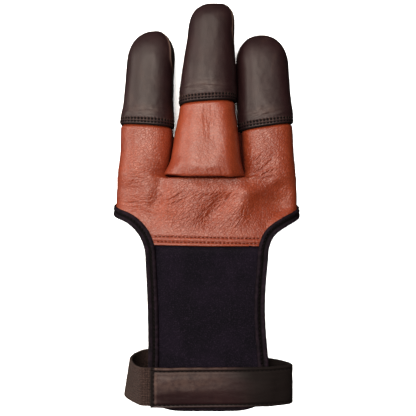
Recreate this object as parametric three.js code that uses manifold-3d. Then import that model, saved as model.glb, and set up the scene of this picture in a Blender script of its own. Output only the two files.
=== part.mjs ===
// A three-finger archery glove, lying on its far side with the stretch panel up.
// Millimetres. +Y runs from the wrist to the fingertips and +Z up from the table.
// While it is built, y = 0 is the seam at the base of the middle finger; the group is then set
// down with its origin under the middle of the whole glove.
import * as THREE from "three";
import { mergeVertices } from "three/addons/utils/BufferGeometryUtils.js";
import Module from "manifold-3d";

const wasm = await Module();
wasm.setup();

// Walls and gaps
const clearance = 0.3;
const leatherWall = 1.3;
const stallWall = 1.5;
const fabricWall = 1.6;
const tapeWall = 0.8;
const tapeWidth = 4.9;
const tapeFoldGap = 0.5;
const tapeBend = 0.6;
const strapWall = 1.8;
const elasticWall = 1.4;
const fastenerWall = 1.2;

// Hand part
const palmHeight = 27;
const palmLength = 35;
const palmShift = -0.7;
const seamShare = 0.985;
const panelLength = 77;
const panelLift = 16;
const lapLength = 6;
const tongueRise = 3.2;
const underLift = tapeWall + clearance;

// Wrist loop
const strapWidth = 19;
const elasticInset = 0.3;
const strapFromPanelEnd = 1.5;
const elasticFlare = 2.9;
const fastenerLength = 8;
const fastenerInset = 1;
const elasticWidth = strapWidth - 2 * elasticInset;
const fastenerWidth = strapWidth - 2 * fastenerInset;

// Fingers: hem is how far up the stall's open end lies, tilt how much further up it is at its
// right side, and dome and domePower shape the rounded tip.
const fingerPower = 2.4;
const stallOverlap = 8;
const hemStep = 0.6;
const hemRun = 1.5;
const pressed = 0.7;
const seamRound = 2.6;
const throatMargin = 2;
const rootGap = 0.7;
const FINGERS = {
  index: { length: 77.9, width: 26.4, height: 23, hem: 27.2, tilt: -0.8, dome: 15.4, domePower: 2.05 },
  middle: { length: 91.6, width: 28, height: 26, hem: 38.8, tilt: 0.9, dome: 13, domePower: 2.4 },
  ring: { length: 75.7, width: 28, height: 23, hem: 26.6, tilt: 2.1, dome: 15.7, domePower: 2.1 },
};

// One row for each section, from the finger seam (along 0) past the stall's hem (1) to the tip
// (2). Sway moves the centre line sideways in shares of the finger's width, and width, top and
// under are shares of its width and height.
const FINGER_SHAPES = {
  index: [
    { along: -0.34, sway: 0.0, width: 0.84, top: 0.98, under: 0.1 },
    { along: 0.0, sway: 0.0, width: 0.96, top: 1.1, under: 0.02 },
    { along: 0.54, sway: 0.078, width: 1.05, top: 1.05, under: 0.0 },
    { along: 1.0, sway: 0.09, width: 1.07, top: 1.02, under: 0.0 },
    { along: 1.2, sway: 0.11, width: 1.0, top: 1.0, under: 0.0 },
    { along: 1.45, sway: 0.132, width: 0.96, top: 0.98, under: 0.0 },
    { along: 1.72, sway: 0.17, width: 0.95, top: 0.96, under: 0.0 },
    { along: 2.0, sway: 0.225, width: 0.93, top: 0.9, under: 0.06 },
  ],
  middle: [
    { along: 0.0, sway: 0.0, width: 1.42, top: 1.25, under: 0.1 },
    { along: 0.21, sway: 0.004, width: 1.3, top: 1.25, under: 0.09 },
    { along: 0.52, sway: 0.014, width: 1.2, top: 1.17, under: 0.07 },
    { along: 0.83, sway: 0.028, width: 1.1, top: 1.1, under: 0.05 },
    { along: 1.0, sway: 0.036, width: 1.07, top: 1.08, under: 0.04 },
    { along: 1.32, sway: 0.06, width: 1.01, top: 1.05, under: 0.03 },
    { along: 1.55, sway: 0.084, width: 0.93, top: 1.02, under: 0.0 },
    { along: 1.76, sway: 0.115, width: 0.88, top: 0.98, under: 0.0 },
    { along: 2.0, sway: 0.155, width: 0.88, top: 0.92, under: 0.06 },
  ],
  ring: [
    { along: -0.34, sway: 0.0, width: 0.84, top: 0.98, under: 0.1 },
    { along: 0.0, sway: 0.0, width: 0.945, top: 1.1, under: 0.02 },
    { along: 0.54, sway: -0.04, width: 1.0, top: 1.05, under: 0.0 },
    { along: 0.97, sway: -0.066, width: 1.015, top: 1.02, under: 0.0 },
    { along: 1.34, sway: -0.1, width: 0.99, top: 1.0, under: 0.0 },
    { along: 1.6, sway: -0.122, width: 0.98, top: 0.98, under: 0.0 },
    { along: 1.77, sway: -0.14, width: 0.975, top: 0.96, under: 0.0 },
    { along: 2.0, sway: -0.162, width: 0.97, top: 0.9, under: 0.06 },
  ],
};

// The hand part from the finger seam (down 0) past the leather's lower edge (1) to the panel's
// end (2): top is a share of the palm's height, lift a share of the panel's, and power says how
// square the section is.
const HAND_SHAPE = [
  { down: 0, width: seamShare, top: 0.985, lift: 0, power: 3.8 },
  { down: 0.2, width: 0.995, top: 1.0, lift: 0, power: 3.4 },
  { down: 0.45, width: 1.0, top: 1.03, lift: 0.02, power: 2.9 },
  { down: 1, width: 1.0, top: 1.04, lift: 0.2, power: 2.8 },
  { down: 1.5, width: 1.0, top: 1.04, lift: 0.62, power: 2.8 },
  { down: 1.8, width: 1.0, top: 1.0, lift: 0.93, power: 2.8 },
  { down: 2.2, width: 1.0, top: 1.0, lift: 1.0, power: 2.8 },
];

// The edge that the tape covers, from the middle of the far hem round the side and down the
// panel to its end: around is 0 on the panel's centre line, 0.5 at the side and 1 on the far side.
const EDGE_SHAPE = {
  left: [
    { around: 1.0, down: 0.3 },
    { around: 0.8, down: 0.33 },
    { around: 0.62, down: 0.43 },
    { around: 0.5, down: 0.5 },
    { around: 0.432, down: 0.56 },
    { around: 0.363, down: 0.64 },
    { around: 0.306, down: 0.8 },
    { around: 0.274, down: 1.005 },
    { around: 0.265, down: 1.13 },
    { around: 0.252, down: 1.42 },
    { around: 0.247, down: 1.65 },
    { around: 0.246, down: 1.83 },
    { around: 0.238, down: 1.91 },
    { around: 0.208, down: 1.966 },
    { around: 0.155, down: 1.992 },
    { around: 0.08, down: 1.997 },
    { around: 0.0, down: 1.997 },
  ],
  right: [
    { around: 1.0, down: 0.3 },
    { around: 0.8, down: 0.34 },
    { around: 0.62, down: 0.46 },
    { around: 0.5, down: 0.525 },
    { around: 0.448, down: 0.58 },
    { around: 0.366, down: 0.69 },
    { around: 0.305, down: 0.82 },
    { around: 0.276, down: 0.99 },
    { around: 0.267, down: 1.1 },
    { around: 0.252, down: 1.33 },
    { around: 0.252, down: 1.5 },
    { around: 0.261, down: 1.7 },
    { around: 0.264, down: 1.83 },
    { around: 0.253, down: 1.905 },
    { around: 0.218, down: 1.966 },
    { around: 0.16, down: 1.992 },
    { around: 0.08, down: 1.997 },
    { around: 0.0, down: 1.997 },
  ],
};

// Dents and folds of the palm's upper face: across and down are shares of the palm's half width
// and length, turn is in degrees from across the glove, length and width are shares of its half
// width and depth of its height. A negative depth is a swelling.
const FOLDS = [
  { across: -0.55, down: 0.3, turn: 70, length: 0.3, width: 0.05, depth: 0.048 },
  { across: -0.64, down: 0.44, turn: 20, length: 0.14, width: 0.06, depth: 0.03 },
  { across: 0.56, down: 0.3, turn: 32, length: 0.26, width: 0.1, depth: 0.067 },
  { across: -0.06, down: 0.42, turn: 48, length: 0.22, width: 0.09, depth: 0.041 },
  { across: 0.1, down: 0.12, turn: -4, length: 0.4, width: 0.06, depth: -0.037 },
  { across: 0.52, down: 0.06, turn: -8, length: 0.2, width: 0.05, depth: 0.033 },
];

// The wrist loop seen from the wrist. Across is a share of half the palm's width. Height is a
// share of the height at which each band lies over the panel's end, and lift a share of what it
// passes over: the elastic for the strap, and the strap's tail and fastener for the elastic.
const STRAP_LINE = [
  { across: -0.58, height: 1.0, lift: 1.0 },
  { across: -0.4, height: 1.0, lift: 1.0 },
  { across: -0.22, height: 1.0, lift: 0.7 },
  { across: 0.0, height: 1.0, lift: 0.45 },
  { across: 0.21, height: 1.0, lift: 0.33 },
  { across: 0.42, height: 1.0, lift: 0.12 },
  { across: 0.6, height: 0.986, lift: 0.0 },
  { across: 0.7, height: 0.958, lift: 0.0 },
  { across: 0.79, height: 0.926, lift: 0.0 },
  { across: 0.843, height: 0.894, lift: 0.0 },
  { across: 0.873, height: 0.851, lift: 0.0 },
  { across: 0.868, height: 0.794, lift: 0.0 },
  { across: 0.835, height: 0.726, lift: 0.0 },
  { across: 0.775, height: 0.643, lift: 0.0 },
  { across: 0.64, height: 0.529, lift: 0.0 },
  { across: 0.47, height: 0.384, lift: 0.0 },
  { across: 0.32, height: 0.207, lift: 0.0 },
  { across: 0.2, height: 0.093, lift: 0.0 },
  { across: 0.07, height: 0.023, lift: 0.0 },
  { across: -0.08, height: 0.004, lift: 0.0 },
  { across: -0.2, height: 0.0, lift: 0.0 },
];
const ELASTIC_LINE = [
  { across: -0.42, height: 1.0, lift: 0.0 },
  { across: -0.52, height: 1.0, lift: 0.0 },
  { across: -0.6, height: 1.0, lift: 0.0 },
  { across: -0.65, height: 0.996, lift: 0.0 },
  { across: -0.7, height: 0.968, lift: 0.0 },
  { across: -0.77, height: 0.857, lift: 0.0 },
  { across: -0.82, height: 0.69, lift: 0.0 },
  { across: -0.845, height: 0.502, lift: 0.0 },
  { across: -0.825, height: 0.293, lift: 0.0 },
  { across: -0.76, height: 0.125, lift: 0.0 },
  { across: -0.66, height: 0.036, lift: 0.0 },
  { across: -0.5, height: 0.006, lift: 0.0 },
  { across: -0.36, height: 0.0, lift: 0.29 },
  { across: -0.21, height: 0.0, lift: 0.95 },
  { across: -0.08, height: 0.008, lift: 1.0 },
  { across: 0.05, height: 0.024, lift: 1.0 },
];

// The palm is as wide as the three fingers side by side.
const rootWidth = (name) => {
  const row = FINGER_SHAPES[name].find(({ along }) => along === 0);
  return row.width * FINGERS[name].width;
};
const seamWidth = rootWidth("index") + rootWidth("middle") + rootWidth("ring") + 2 * rootGap;
const palmWidth = seamWidth / seamShare;
const FINGER_BASE = {
  index: palmShift - seamWidth / 2 + rootWidth("index") / 2,
  middle: palmShift - seamWidth / 2 + rootWidth("index") + rootGap + rootWidth("middle") / 2,
  ring: palmShift + seamWidth / 2 - rootWidth("ring") / 2,
};

// Smooth value of one column of a table, at a place in its key column.
function valueAt(table, key, column, place) {
  const last = table.length - 1;
  if (place <= table[0][key]) return table[0][column];
  if (place >= table[last][key]) return table[last][column];
  const i = table.findIndex((row) => row[key] > place) - 1;
  const slope = (j) => {
    const before = table[Math.max(j - 1, 0)];
    const after = table[Math.min(j + 1, last)];
    return (after[column] - before[column]) / (after[key] - before[key]);
  };
  const span = table[i + 1][key] - table[i][key];
  const u = (place - table[i][key]) / span;
  const v = 1 - u;
  return (
    table[i][column] * v * v * (1 + 2 * u) +
    table[i + 1][column] * u * u * (1 + 2 * v) +
    (slope(i) * v - slope(i + 1) * u) * u * v * span
  );
}

const smooth = (low, high, value) => THREE.MathUtils.smoothstep(value, low, high);
const mix = THREE.MathUtils.lerp;
const range = (count) => Array.from({ length: count }, (_, i) => i);

// A closed mesh through rings of points. The ends are closed with a fan, or the last ring is
// joined to the first.
function meshThrough(rings, joined = false) {
  const size = rings[0].length;
  const points = rings.flat();
  const faces = [];
  const bands = joined ? rings.length : rings.length - 1;
  for (let r = 0; r < bands; r++) {
    const next = (r + 1) % rings.length;
    for (let i = 0; i < size; i++) {
      const j = (i + 1) % size;
      const [a, b, c, d] = [r * size + i, r * size + j, next * size + j, next * size + i];
      faces.push(a, b, c, a, c, d);
    }
  }
  if (!joined) {
    for (const [r, turned] of [[0, true], [rings.length - 1, false]]) {
      const centre = new THREE.Vector3();
      rings[r].forEach((p) => centre.addScaledVector(p, 1 / size));
      points.push(centre);
      for (let i = 0; i < size; i++) {
        const j = (i + 1) % size;
        const pair = turned ? [r * size + j, r * size + i] : [r * size + i, r * size + j];
        faces.push(...pair, points.length - 1);
      }
    }
  }
  const geometry = new THREE.BufferGeometry().setFromPoints(points);
  geometry.setIndex(faces);
  return facingOut(geometry);
}

function facingOut(geometry) {
  const position = geometry.getAttribute("position");
  const index = geometry.getIndex().array;
  const [a, b, c] = [new THREE.Vector3(), new THREE.Vector3(), new THREE.Vector3()];
  let volume = 0;
  for (let i = 0; i < index.length; i += 3) {
    a.fromBufferAttribute(position, index[i]);
    b.fromBufferAttribute(position, index[i + 1]);
    c.fromBufferAttribute(position, index[i + 2]);
    volume += a.dot(b.cross(c));
  }
  if (volume < 0) {
    for (let i = 0; i < index.length; i += 3) {
      [index[i + 1], index[i + 2]] = [index[i + 2], index[i + 1]];
    }
  }
  return geometry;
}

// Solids for the leather that is joined or cut
function solidFrom(geometry) {
  const merged = mergeVertices(geometry, 1e-4);
  return new wasm.Manifold(
    new wasm.Mesh({
      numProp: 3,
      vertProperties: new Float32Array(merged.getAttribute("position").array),
      triVerts: new Uint32Array(merged.getIndex().array),
    }),
  );
}

function geometryFrom(solid) {
  const mesh = solid.getMesh();
  const geometry = new THREE.BufferGeometry();
  geometry.setAttribute("position", new THREE.BufferAttribute(mesh.vertProperties, 3));
  geometry.setIndex(new THREE.BufferAttribute(mesh.triVerts, 1));
  return geometry;
}

// A point on a quarter of a rounded section, by length along it: 0 at the top, 1 at the side.
const QUARTER_STEPS = 48;
function quarterPoint(share, halfWidth, halfHeight, power) {
  const curve = range(QUARTER_STEPS + 1).map((i) => {
    const turn = (i / QUARTER_STEPS) * (Math.PI / 2);
    return [halfWidth * Math.sin(turn) ** (2 / power), halfHeight * Math.cos(turn) ** (2 / power)];
  });
  const length = [0];
  for (let i = 1; i < curve.length; i++) {
    length.push(length[i - 1] + Math.hypot(curve[i][0] - curve[i - 1][0], curve[i][1] - curve[i - 1][1]));
  }
  const wanted = share * length[QUARTER_STEPS];
  const i = Math.min(Math.max(length.findIndex((l) => l > wanted) - 1, 0), QUARTER_STEPS - 1);
  const at = share >= 1 ? 1 : (wanted - length[i]) / (length[i + 1] - length[i]);
  const j = share >= 1 ? QUARTER_STEPS - 1 : i;
  return [mix(curve[j][0], curve[j + 1][0], at), mix(curve[j][1], curve[j + 1][1], at)];
}

// A section's x and z at a place around it: side is -1 on the left and 1 on the right. The
// underside is pressed flat at the section's floor.
function sectionPoint(section, side, around, inset) {
  const quarter = around < 0.5 ? around * 2 : (1 - around) * 2;
  const halfWidth = Math.max(section.halfWidth - inset, 0.02);
  const halfHeight = Math.max((section.top - section.bottom) / 2 - inset, 0.02);
  const [x, rise] = quarterPoint(quarter, halfWidth, halfHeight, section.power);
  const z = (section.top + section.bottom) / 2 + (around < 0.5 ? rise : -rise);
  return [section.centre + side * x, Math.max(z, section.floor + inset)];
}

// The places round a section, clockwise from the panel's centre line
function stationsRound(places) {
  const right = places.map((around) => ({ side: 1, around }));
  const left = places.slice(1, -1).reverse().map((around) => ({ side: -1, around }));
  return [...right, ...left];
}

// Hand part
const downToY = (down) => (down <= 1 ? -down * palmLength : -palmLength - (down - 1) * panelLength);
const yToDown = (y) => (y >= -palmLength ? -y / palmLength : 1 + (-palmLength - y) / panelLength);

function handSection(y) {
  const down = yToDown(y);
  const row = (column) => valueAt(HAND_SHAPE, "down", column, down);
  const top = palmHeight * row("top") + panelLift * row("lift");
  const under = underLift * smooth(0, 0.17, down);
  return {
    centre: palmShift,
    halfWidth: (palmWidth / 2) * row("width"),
    top,
    bottom: Math.max(top - palmHeight - pressed, under - pressed),
    floor: under,
    power: row("power"),
  };
}

function foldDepth(x, y) {
  const half = palmWidth / 2;
  let depth = 0;
  for (const fold of FOLDS) {
    const turn = THREE.MathUtils.degToRad(fold.turn);
    const dx = x - palmShift - fold.across * half;
    const dy = y + fold.down * palmLength;
    const along = (dx * Math.cos(turn) + dy * Math.sin(turn)) / (fold.length * half);
    const over = (dy * Math.cos(turn) - dx * Math.sin(turn)) / (fold.width * half);
    depth += fold.depth * palmHeight * Math.exp(-along * along - over * over);
  }
  return depth;
}

// A point of the hand part, inset below its outer face
function handPoint(side, around, y, inset = 0) {
  const [x, z] = sectionPoint(handSection(y), side, around, inset);
  const upperFace = 1 - smooth(0.34, 0.46, around);
  return new THREE.Vector3(x, y, z - foldDepth(x, y) * upperFace);
}

// The taped edge as points along a smooth line through its table. They lie closest together
// where it turns round the glove's side and at the panel's corners.
const EDGE_STEPS = [
  { from: 0, to: 0.18, steps: 6 },
  { from: 0.18, to: 0.42, steps: 20 },
  { from: 0.42, to: 0.83, steps: 11 },
  { from: 0.83, to: 0.94, steps: 9 },
  { from: 0.94, to: 1, steps: 3 },
];

function edgeLine(side) {
  const knots = EDGE_SHAPE[side < 0 ? "left" : "right"].map(
    (row) => new THREE.Vector3(row.around * palmWidth, downToY(row.down), 0),
  );
  const curve = new THREE.CatmullRomCurve3(knots, false, "centripetal");
  curve.arcLengthDivisions = 1000;
  const shares = EDGE_STEPS.flatMap(({ from, to, steps }) => {
    return range(steps).map((i) => mix(from, to, i / steps));
  });
  return [...shares, 1].map((share) => {
    const point = curve.getPointAt(share);
    return { around: point.x / palmWidth, y: point.y };
  });
}
const EDGE = { "-1": edgeLine(-1), "1": edgeLine(1) };

// Where the edge lies at a place around the hand part, up to the leather's lower edge
function leatherEdgeY(side, around) {
  const line = EDGE[side];
  const i = line.findIndex((p) => p.around <= around || p.y < -palmLength);
  if (i <= 0) return line[0].y;
  if (line[i].around > around) return -palmLength;
  const share = (line[i - 1].around - around) / (line[i - 1].around - line[i].around);
  return Math.max(mix(line[i - 1].y, line[i].y, share), -palmLength);
}

// Where the edge lies around the hand part, at a place down the panel
function panelEdgeAround(side, y) {
  const line = EDGE[side];
  const i = line.findIndex((p) => p.y < y);
  if (i < 0) return line[line.length - 1].around;
  const share = (line[i - 1].y - y) / (line[i - 1].y - line[i].y);
  return mix(line[i - 1].around, line[i].around, share);
}

// Fingers
const FINGER_STATIONS = stationsRound(range(14).map((i) => i / 13));

function fingerSection(name, y, inset = 0) {
  const finger = FINGERS[name];
  const along = y < finger.hem ? y / finger.hem : 1 + (y - finger.hem) / (finger.length - finger.hem);
  const row = (column) => valueAt(FINGER_SHAPES[name], "along", column, along);
  const round = (y - finger.length + finger.dome) / (finger.dome - inset);
  const dome = (1 - THREE.MathUtils.clamp(round, 0, 1) ** finger.domePower) ** (1 / finger.domePower);
  const top = finger.height * row("top");
  const under = finger.height * Math.max(row("under"), 0);
  const middle = (top + under) / 2;
  const rise = ((top - under) / 2 - inset) * dome;
  return {
    centre: FINGER_BASE[name] + row("sway") * finger.width,
    halfWidth: ((finger.width / 2) * row("width") - inset) * dome,
    top: middle + rise,
    bottom: middle - rise - pressed * dome,
    floor: middle - rise,
    power: fingerPower,
  };
}

// A ring of a finger's skin; the hem's tilt fades out towards the tip and the palm.
function fingerRing(name, y, inset) {
  const finger = FINGERS[name];
  const section = fingerSection(name, y, inset);
  const fade = 1 - Math.min(Math.abs(y - finger.hem) / (finger.hem * 0.8), 1);
  return FINGER_STATIONS.map(({ side, around }) => {
    const [x, z] = sectionPoint(section, side, around, 0);
    const lean = ((x - section.centre) / section.halfWidth) * finger.tilt * fade;
    return new THREE.Vector3(x, y + lean, z);
  });
}

// Palm: the places round it are closest together where the hem turns round its sides.
const PALM_STATIONS = stationsRound([
  0, 0.055, 0.11, 0.16, 0.205, 0.24, 0.262, 0.275, 0.287, 0.303, 0.325, 0.352, 0.38, 0.406, 0.43,
  0.454, 0.478, 0.504, 0.534, 0.57, 0.615, 0.68, 0.75, 0.82, 0.88, 0.94, 1,
]);

// Rows of the palm's skin: drop and turned are shares of the seam's rounding, from the seam down
// and from the skin inwards, and share is the rest of the way to the hem.
const PALM_ROWS = [
  { drop: 0, share: 0, turned: 0.54 },
  { drop: 0.27, share: 0, turned: 0.19 },
  { drop: 0.85, share: 0, turned: 0 },
  { drop: 0.85, share: 0.14, turned: 0 },
  { drop: 0.85, share: 0.28, turned: 0 },
  { drop: 0.85, share: 0.42, turned: 0 },
  { drop: 0.85, share: 0.56, turned: 0 },
  { drop: 0.85, share: 0.7, turned: 0 },
  { drop: 0.85, share: 0.85, turned: 0 },
  { drop: 0.85, share: 1, turned: 0 },
];

function palmRing({ drop, share, turned }, inset) {
  return PALM_STATIONS.map(({ side, around }) => {
    const y = mix(-drop * seamRound, leatherEdgeY(side, around), share);
    return handPoint(side, around, Math.min(y, -inset), inset + turned * seamRound);
  });
}

function palmOuter() {
  const skin = PALM_ROWS.map((row) => palmRing(row, 0));
  const hem = palmRing(PALM_ROWS[PALM_ROWS.length - 1], leatherWall);
  return solidFrom(meshThrough([...skin, hem]));
}

function palmInner() {
  return solidFrom(meshThrough(PALM_ROWS.slice(1).map((row) => palmRing(row, leatherWall))));
}

// Under the stall the sleeve is drawn in by the stall's wall.
function sleeveInset(name, y) {
  const { hem } = FINGERS[name];
  const under = stallWall + clearance;
  return mix(hemStep * smooth(0, hem, y), under, smooth(hem - hemRun, hem, y));
}

function sleeveRows(name, from) {
  const { hem } = FINGERS[name];
  return [from, 0.4 * from, 0, 0.35 * hem, 0.7 * hem, hem - hemRun, hem, hem + stallOverlap];
}

function sleeveOuter(name, from) {
  const rings = sleeveRows(name, from).map((y) => {
    const inset = mix(2 * leatherWall, sleeveInset(name, y), smooth(from, 0, y));
    return fingerRing(name, y, inset);
  });
  return solidFrom(meshThrough(rings));
}

function sleeveInner(name, from) {
  const rings = sleeveRows(name, from).map((y) => {
    const inset = mix(2 * leatherWall, sleeveInset(name, y), smooth(from, 0, y)) + leatherWall;
    return fingerRing(name, y, inset);
  });
  return solidFrom(meshThrough(rings));
}

// The passage from the palm into the middle finger
function throatRing(y) {
  const base = fingerSection("middle", 0);
  const palm = handSection(0);
  const section = {
    centre: base.centre,
    halfWidth: base.halfWidth - seamRound - leatherWall - throatMargin,
    top: palm.top - leatherWall - throatMargin,
    bottom: base.floor + leatherWall + throatMargin - pressed,
    floor: base.floor + leatherWall + throatMargin,
    power: fingerPower,
  };
  return FINGER_STATIONS.map(({ side, around }) => {
    const [x, z] = sectionPoint(section, side, around, 0);
    return new THREE.Vector3(x, y, z);
  });
}

function gloveBody() {
  const from = -0.23 * palmLength;
  const opening = solidFrom(meshThrough([throatRing(-2 * leatherWall), throatRing(leatherWall)]));
  const skin = palmOuter().add(sleeveOuter("index", from)).add(sleeveOuter("ring", from));
  const hollow = palmInner().add(sleeveInner("index", from)).add(sleeveInner("ring", from));
  return geometryFrom(skin.subtract(hollow.add(opening)));
}

// The middle finger's sleeve is a piece of its own, sewn on with its base turned in.
function middleSleeve() {
  const start = clearance;
  const { hem } = FINGERS.middle;
  const outside = [
    [start, seamRound],
    [start + 0.25 * seamRound, 0.38 * seamRound],
    [start + seamRound, 0.04 * seamRound],
    [0.3 * hem, 0],
    [0.65 * hem, 0],
    [hem - hemRun, hemStep],
    [hem, stallWall + clearance],
    [hem + stallOverlap, stallWall + clearance],
  ];
  const rings = outside.map(([y, inset]) => fingerRing("middle", y, inset));
  for (const [y, inset] of outside.slice(2).reverse()) {
    rings.push(fingerRing("middle", y, inset + leatherWall));
  }
  rings.push(throatRing(start + leatherWall), throatRing(start));
  return meshThrough(rings, true);
}

// A stall covers the sleeve's end and closes round the fingertip.
const STALL_ROWS = [0, 0.25, 0.5, 0.75];
const DOME_TURNS = [0, 22, 42, 58, 71, 82];
function stall(name) {
  const { length, hem, dome } = FINGERS[name];
  const rings = (inset) => {
    const shaft = STALL_ROWS.map((share) => mix(hem, length - dome, share));
    const tip = DOME_TURNS.map((turn) => {
      return length - dome + (dome - inset) * Math.sin(THREE.MathUtils.degToRad(turn));
    });
    return [...shaft, ...tip].map((y) => fingerRing(name, y, inset));
  };
  return meshThrough([...rings(stallWall).reverse(), ...rings(0)]);
}

// Stretch panel: a tongue under the leather's lower edge, then the full width inside the tape
const PANEL_ACROSS = 12;
function wristPanel() {
  const leg = (tapeWidth - tapeWall) / palmWidth;
  const joint = -palmLength - clearance;
  const end = downToY(EDGE_SHAPE.left[EDGE_SHAPE.left.length - 1].down);
  const buried = leatherWall + clearance;
  const rows = [
    { y: -palmLength + lapLength, inset: buried, narrow: true },
    { y: joint, inset: buried, narrow: true },
    { y: joint - tongueRise, inset: 0, narrow: true },
    { y: joint - tongueRise - clearance, inset: 0, narrow: false },
  ];
  const shares = [0.12, 0.26, 0.42, 0.58, 0.72, 0.84, 0.905, 0.94, 0.965, 0.983, 0.994, 1];
  for (const share of shares) {
    rows.push({ y: mix(joint - tongueRise, end, share), inset: 0, narrow: false });
  }
  const rings = rows.map(({ y, inset, narrow }) => {
    const reach = (side) => panelEdgeAround(side, Math.min(y, joint)) - (narrow ? leg : 0);
    const places = range(PANEL_ACROSS + 1).map((i) => {
      const share = mix(-reach(-1), reach(1), i / PANEL_ACROSS);
      return { side: share < 0 ? -1 : 1, around: Math.abs(share) };
    });
    const upper = places.map((p) => handPoint(p.side, p.around, y, inset));
    const lower = places.map((p) => handPoint(p.side, p.around, y, inset + fabricWall));
    return [...upper, ...lower.reverse()];
  });
  return meshThrough(rings);
}

// The tape's folded section: out counts from the covered edge outwards, level down from the face.
function tapeSection() {
  const wall = Math.max(leatherWall, fabricWall);
  const web = clearance + tapeWall;
  const outwards = tapeFoldGap + tapeWall;
  const inwards = tapeWidth - outwards;
  return [
    { out: -inwards, level: -clearance },
    { out: -inwards, level: -web },
    { out: outwards - tapeBend, level: -web },
    { out: outwards, level: -web + tapeBend },
    { out: outwards, level: wall + web - tapeBend },
    { out: outwards - tapeBend, level: wall + web },
    { out: -inwards, level: wall + web },
    { out: -inwards, level: wall + clearance },
    { out: tapeFoldGap, level: wall + clearance },
    { out: tapeFoldGap, level: -clearance },
  ];
}

// One ring of the tape: its section is laid on the hand part's face, square to the edge.
function tapeRing(side, line, i) {
  const here = line[i];
  const before = line[Math.max(i - 1, 0)];
  const after = line[Math.min(i + 1, line.length - 1)];
  const step = 1e-3;
  const point = handPoint(side, here.around, here.y);
  const around = handPoint(side, here.around + step, here.y).sub(point).divideScalar(step);
  if (here.around > 1 - step) {
    around.copy(point).sub(handPoint(side, here.around - step, here.y)).divideScalar(step);
  }
  const along = handPoint(side, here.around, here.y + step).sub(point).divideScalar(step);
  const tangent = around.clone().multiplyScalar(after.around - before.around);
  tangent.addScaledVector(along, after.y - before.y).normalize();
  if (i === 0) tangent.copy(around).normalize().negate();
  const normal = around.clone().cross(along).normalize();
  const outwards = normal.cross(tangent);
  const [aa, bb, ab] = [around.dot(around), along.dot(along), around.dot(along)];
  const [pa, pb] = [outwards.dot(around), outwards.dot(along)];
  const det = aa * bb - ab * ab;
  const stepAround = (pa * bb - pb * ab) / det;
  const stepAlong = (pb * aa - pa * ab) / det;
  return tapeSection().map(({ out, level }) => {
    const place = here.around + out * stepAround;
    const folded = place > 1 ? 2 - place : Math.abs(place);
    const mirrored = place > 1 || place < 0 ? -side : side;
    return handPoint(mirrored, folded, here.y + out * stepAlong, level);
  });
}

function edgeTape() {
  const left = EDGE[-1].map((_, i) => tapeRing(-1, EDGE[-1], i));
  const right = EDGE[1].map((_, i) => tapeRing(1, EDGE[1], i));
  return meshThrough([...left, ...right.reverse().slice(1, -1)], true);
}

// Wrist loop: a band bent along a line, with its outer face on that line. The turn is 1 where
// the line runs clockwise and -1 where it runs the other way.
const strapStart = downToY(2) + strapFromPanelEnd;
const tapeTop = handSection(downToY(2)).top + tapeWall + clearance;
const strapRest = tapeTop + strapWall;
const elasticLift = elasticWall + clearance;
const elasticRest = tapeTop + elasticWall;
const closureLift = strapWall + fastenerWall + 2 * clearance;

function loopLine(table, rest, lift) {
  const points = table.map((row) => {
    return new THREE.Vector2((row.across * palmWidth) / 2, row.height * rest + row.lift * lift);
  });
  return new THREE.SplineCurve(points).getPoints(table.length * 2);
}

// Sets a line in by a distance, so that another band can lie against its inner face.
function setIn(line, turn, depth) {
  return line.map((point, i) => {
    const before = line[Math.max(i - 1, 0)];
    const after = line[Math.min(i + 1, line.length - 1)];
    const along = after.clone().sub(before).normalize();
    return new THREE.Vector2(point.x + turn * along.y * depth, point.y - turn * along.x * depth);
  });
}

function bandAlong(line, turn, wall, width, flareAt = () => 0) {
  const inner = setIn(line, turn, wall);
  const start = strapStart + (strapWidth - width) / 2;
  const rings = line.map((point, i) => {
    const flare = flareAt(point);
    return [
      new THREE.Vector3(point.x, start + width, point.y),
      new THREE.Vector3(point.x - flare, start, point.y),
      new THREE.Vector3(inner[i].x - flare, start, inner[i].y),
      new THREE.Vector3(inner[i].x, start + width, inner[i].y),
    ];
  });
  return meshThrough(rings);
}

const strapLine = loopLine(STRAP_LINE, strapRest, elasticLift);
const elasticLine = loopLine(ELASTIC_LINE, elasticRest, closureLift);

// The elastic spreads outwards at its wrist side.
function elasticSpread(point) {
  const sideways = smooth(0.55, 0.8, (-2 * point.x) / palmWidth);
  return elasticFlare * sideways * (1 - smooth(0.6, 0.95, point.y / elasticRest));
}

// The plain fastener between the strap's tail and the elastic
function fastenerPad() {
  const from = (STRAP_LINE[STRAP_LINE.length - 1].across * palmWidth) / 2 + fastenerInset;
  const line = setIn(strapLine, 1, strapWall + clearance).filter((point) => {
    return point.y < strapRest / 4 && point.x > from && point.x < from + fastenerLength;
  });
  return bandAlong(line, 1, fastenerWall, fastenerWidth);
}

const material = (name, color, roughness) => {
  const made = new THREE.MeshStandardMaterial({ color, roughness, metalness: 0 });
  made.name = name;
  return made;
};
const tanLeather = material("tan_leather", "#a5563a", 0.5);
const brownLeather = material("brown_leather", "#43332f", 0.42);
const stretchFabric = material("stretch_fabric", "#1c191f", 0.9);
const blackTape = material("black_tape", "#1f191c", 0.55);
const brownElastic = material("brown_elastic", "#3a2d2a", 0.85);
const blackFastener = material("black_fastener", "#17151a", 0.95);

const glove = new THREE.Group();
function place(name, geometry, finish) {
  const mesh = new THREE.Mesh(geometry, finish);
  mesh.name = name;
  glove.add(mesh);
}

place("glove_body", gloveBody(), tanLeather);
place("middle_sleeve", middleSleeve(), tanLeather);
for (const name of Object.keys(FINGERS)) place(`${name}_stall`, stall(name), brownLeather);
place("wrist_panel", wristPanel(), stretchFabric);
place("edge_tape", edgeTape(), blackTape);
place("wrist_strap", bandAlong(strapLine, 1, strapWall, strapWidth), brownLeather);
const elastic = bandAlong(elasticLine, -1, elasticWall, elasticWidth, elasticSpread);
place("strap_elastic", elastic, brownElastic);
place("strap_fastener", fastenerPad(), blackFastener);

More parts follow.
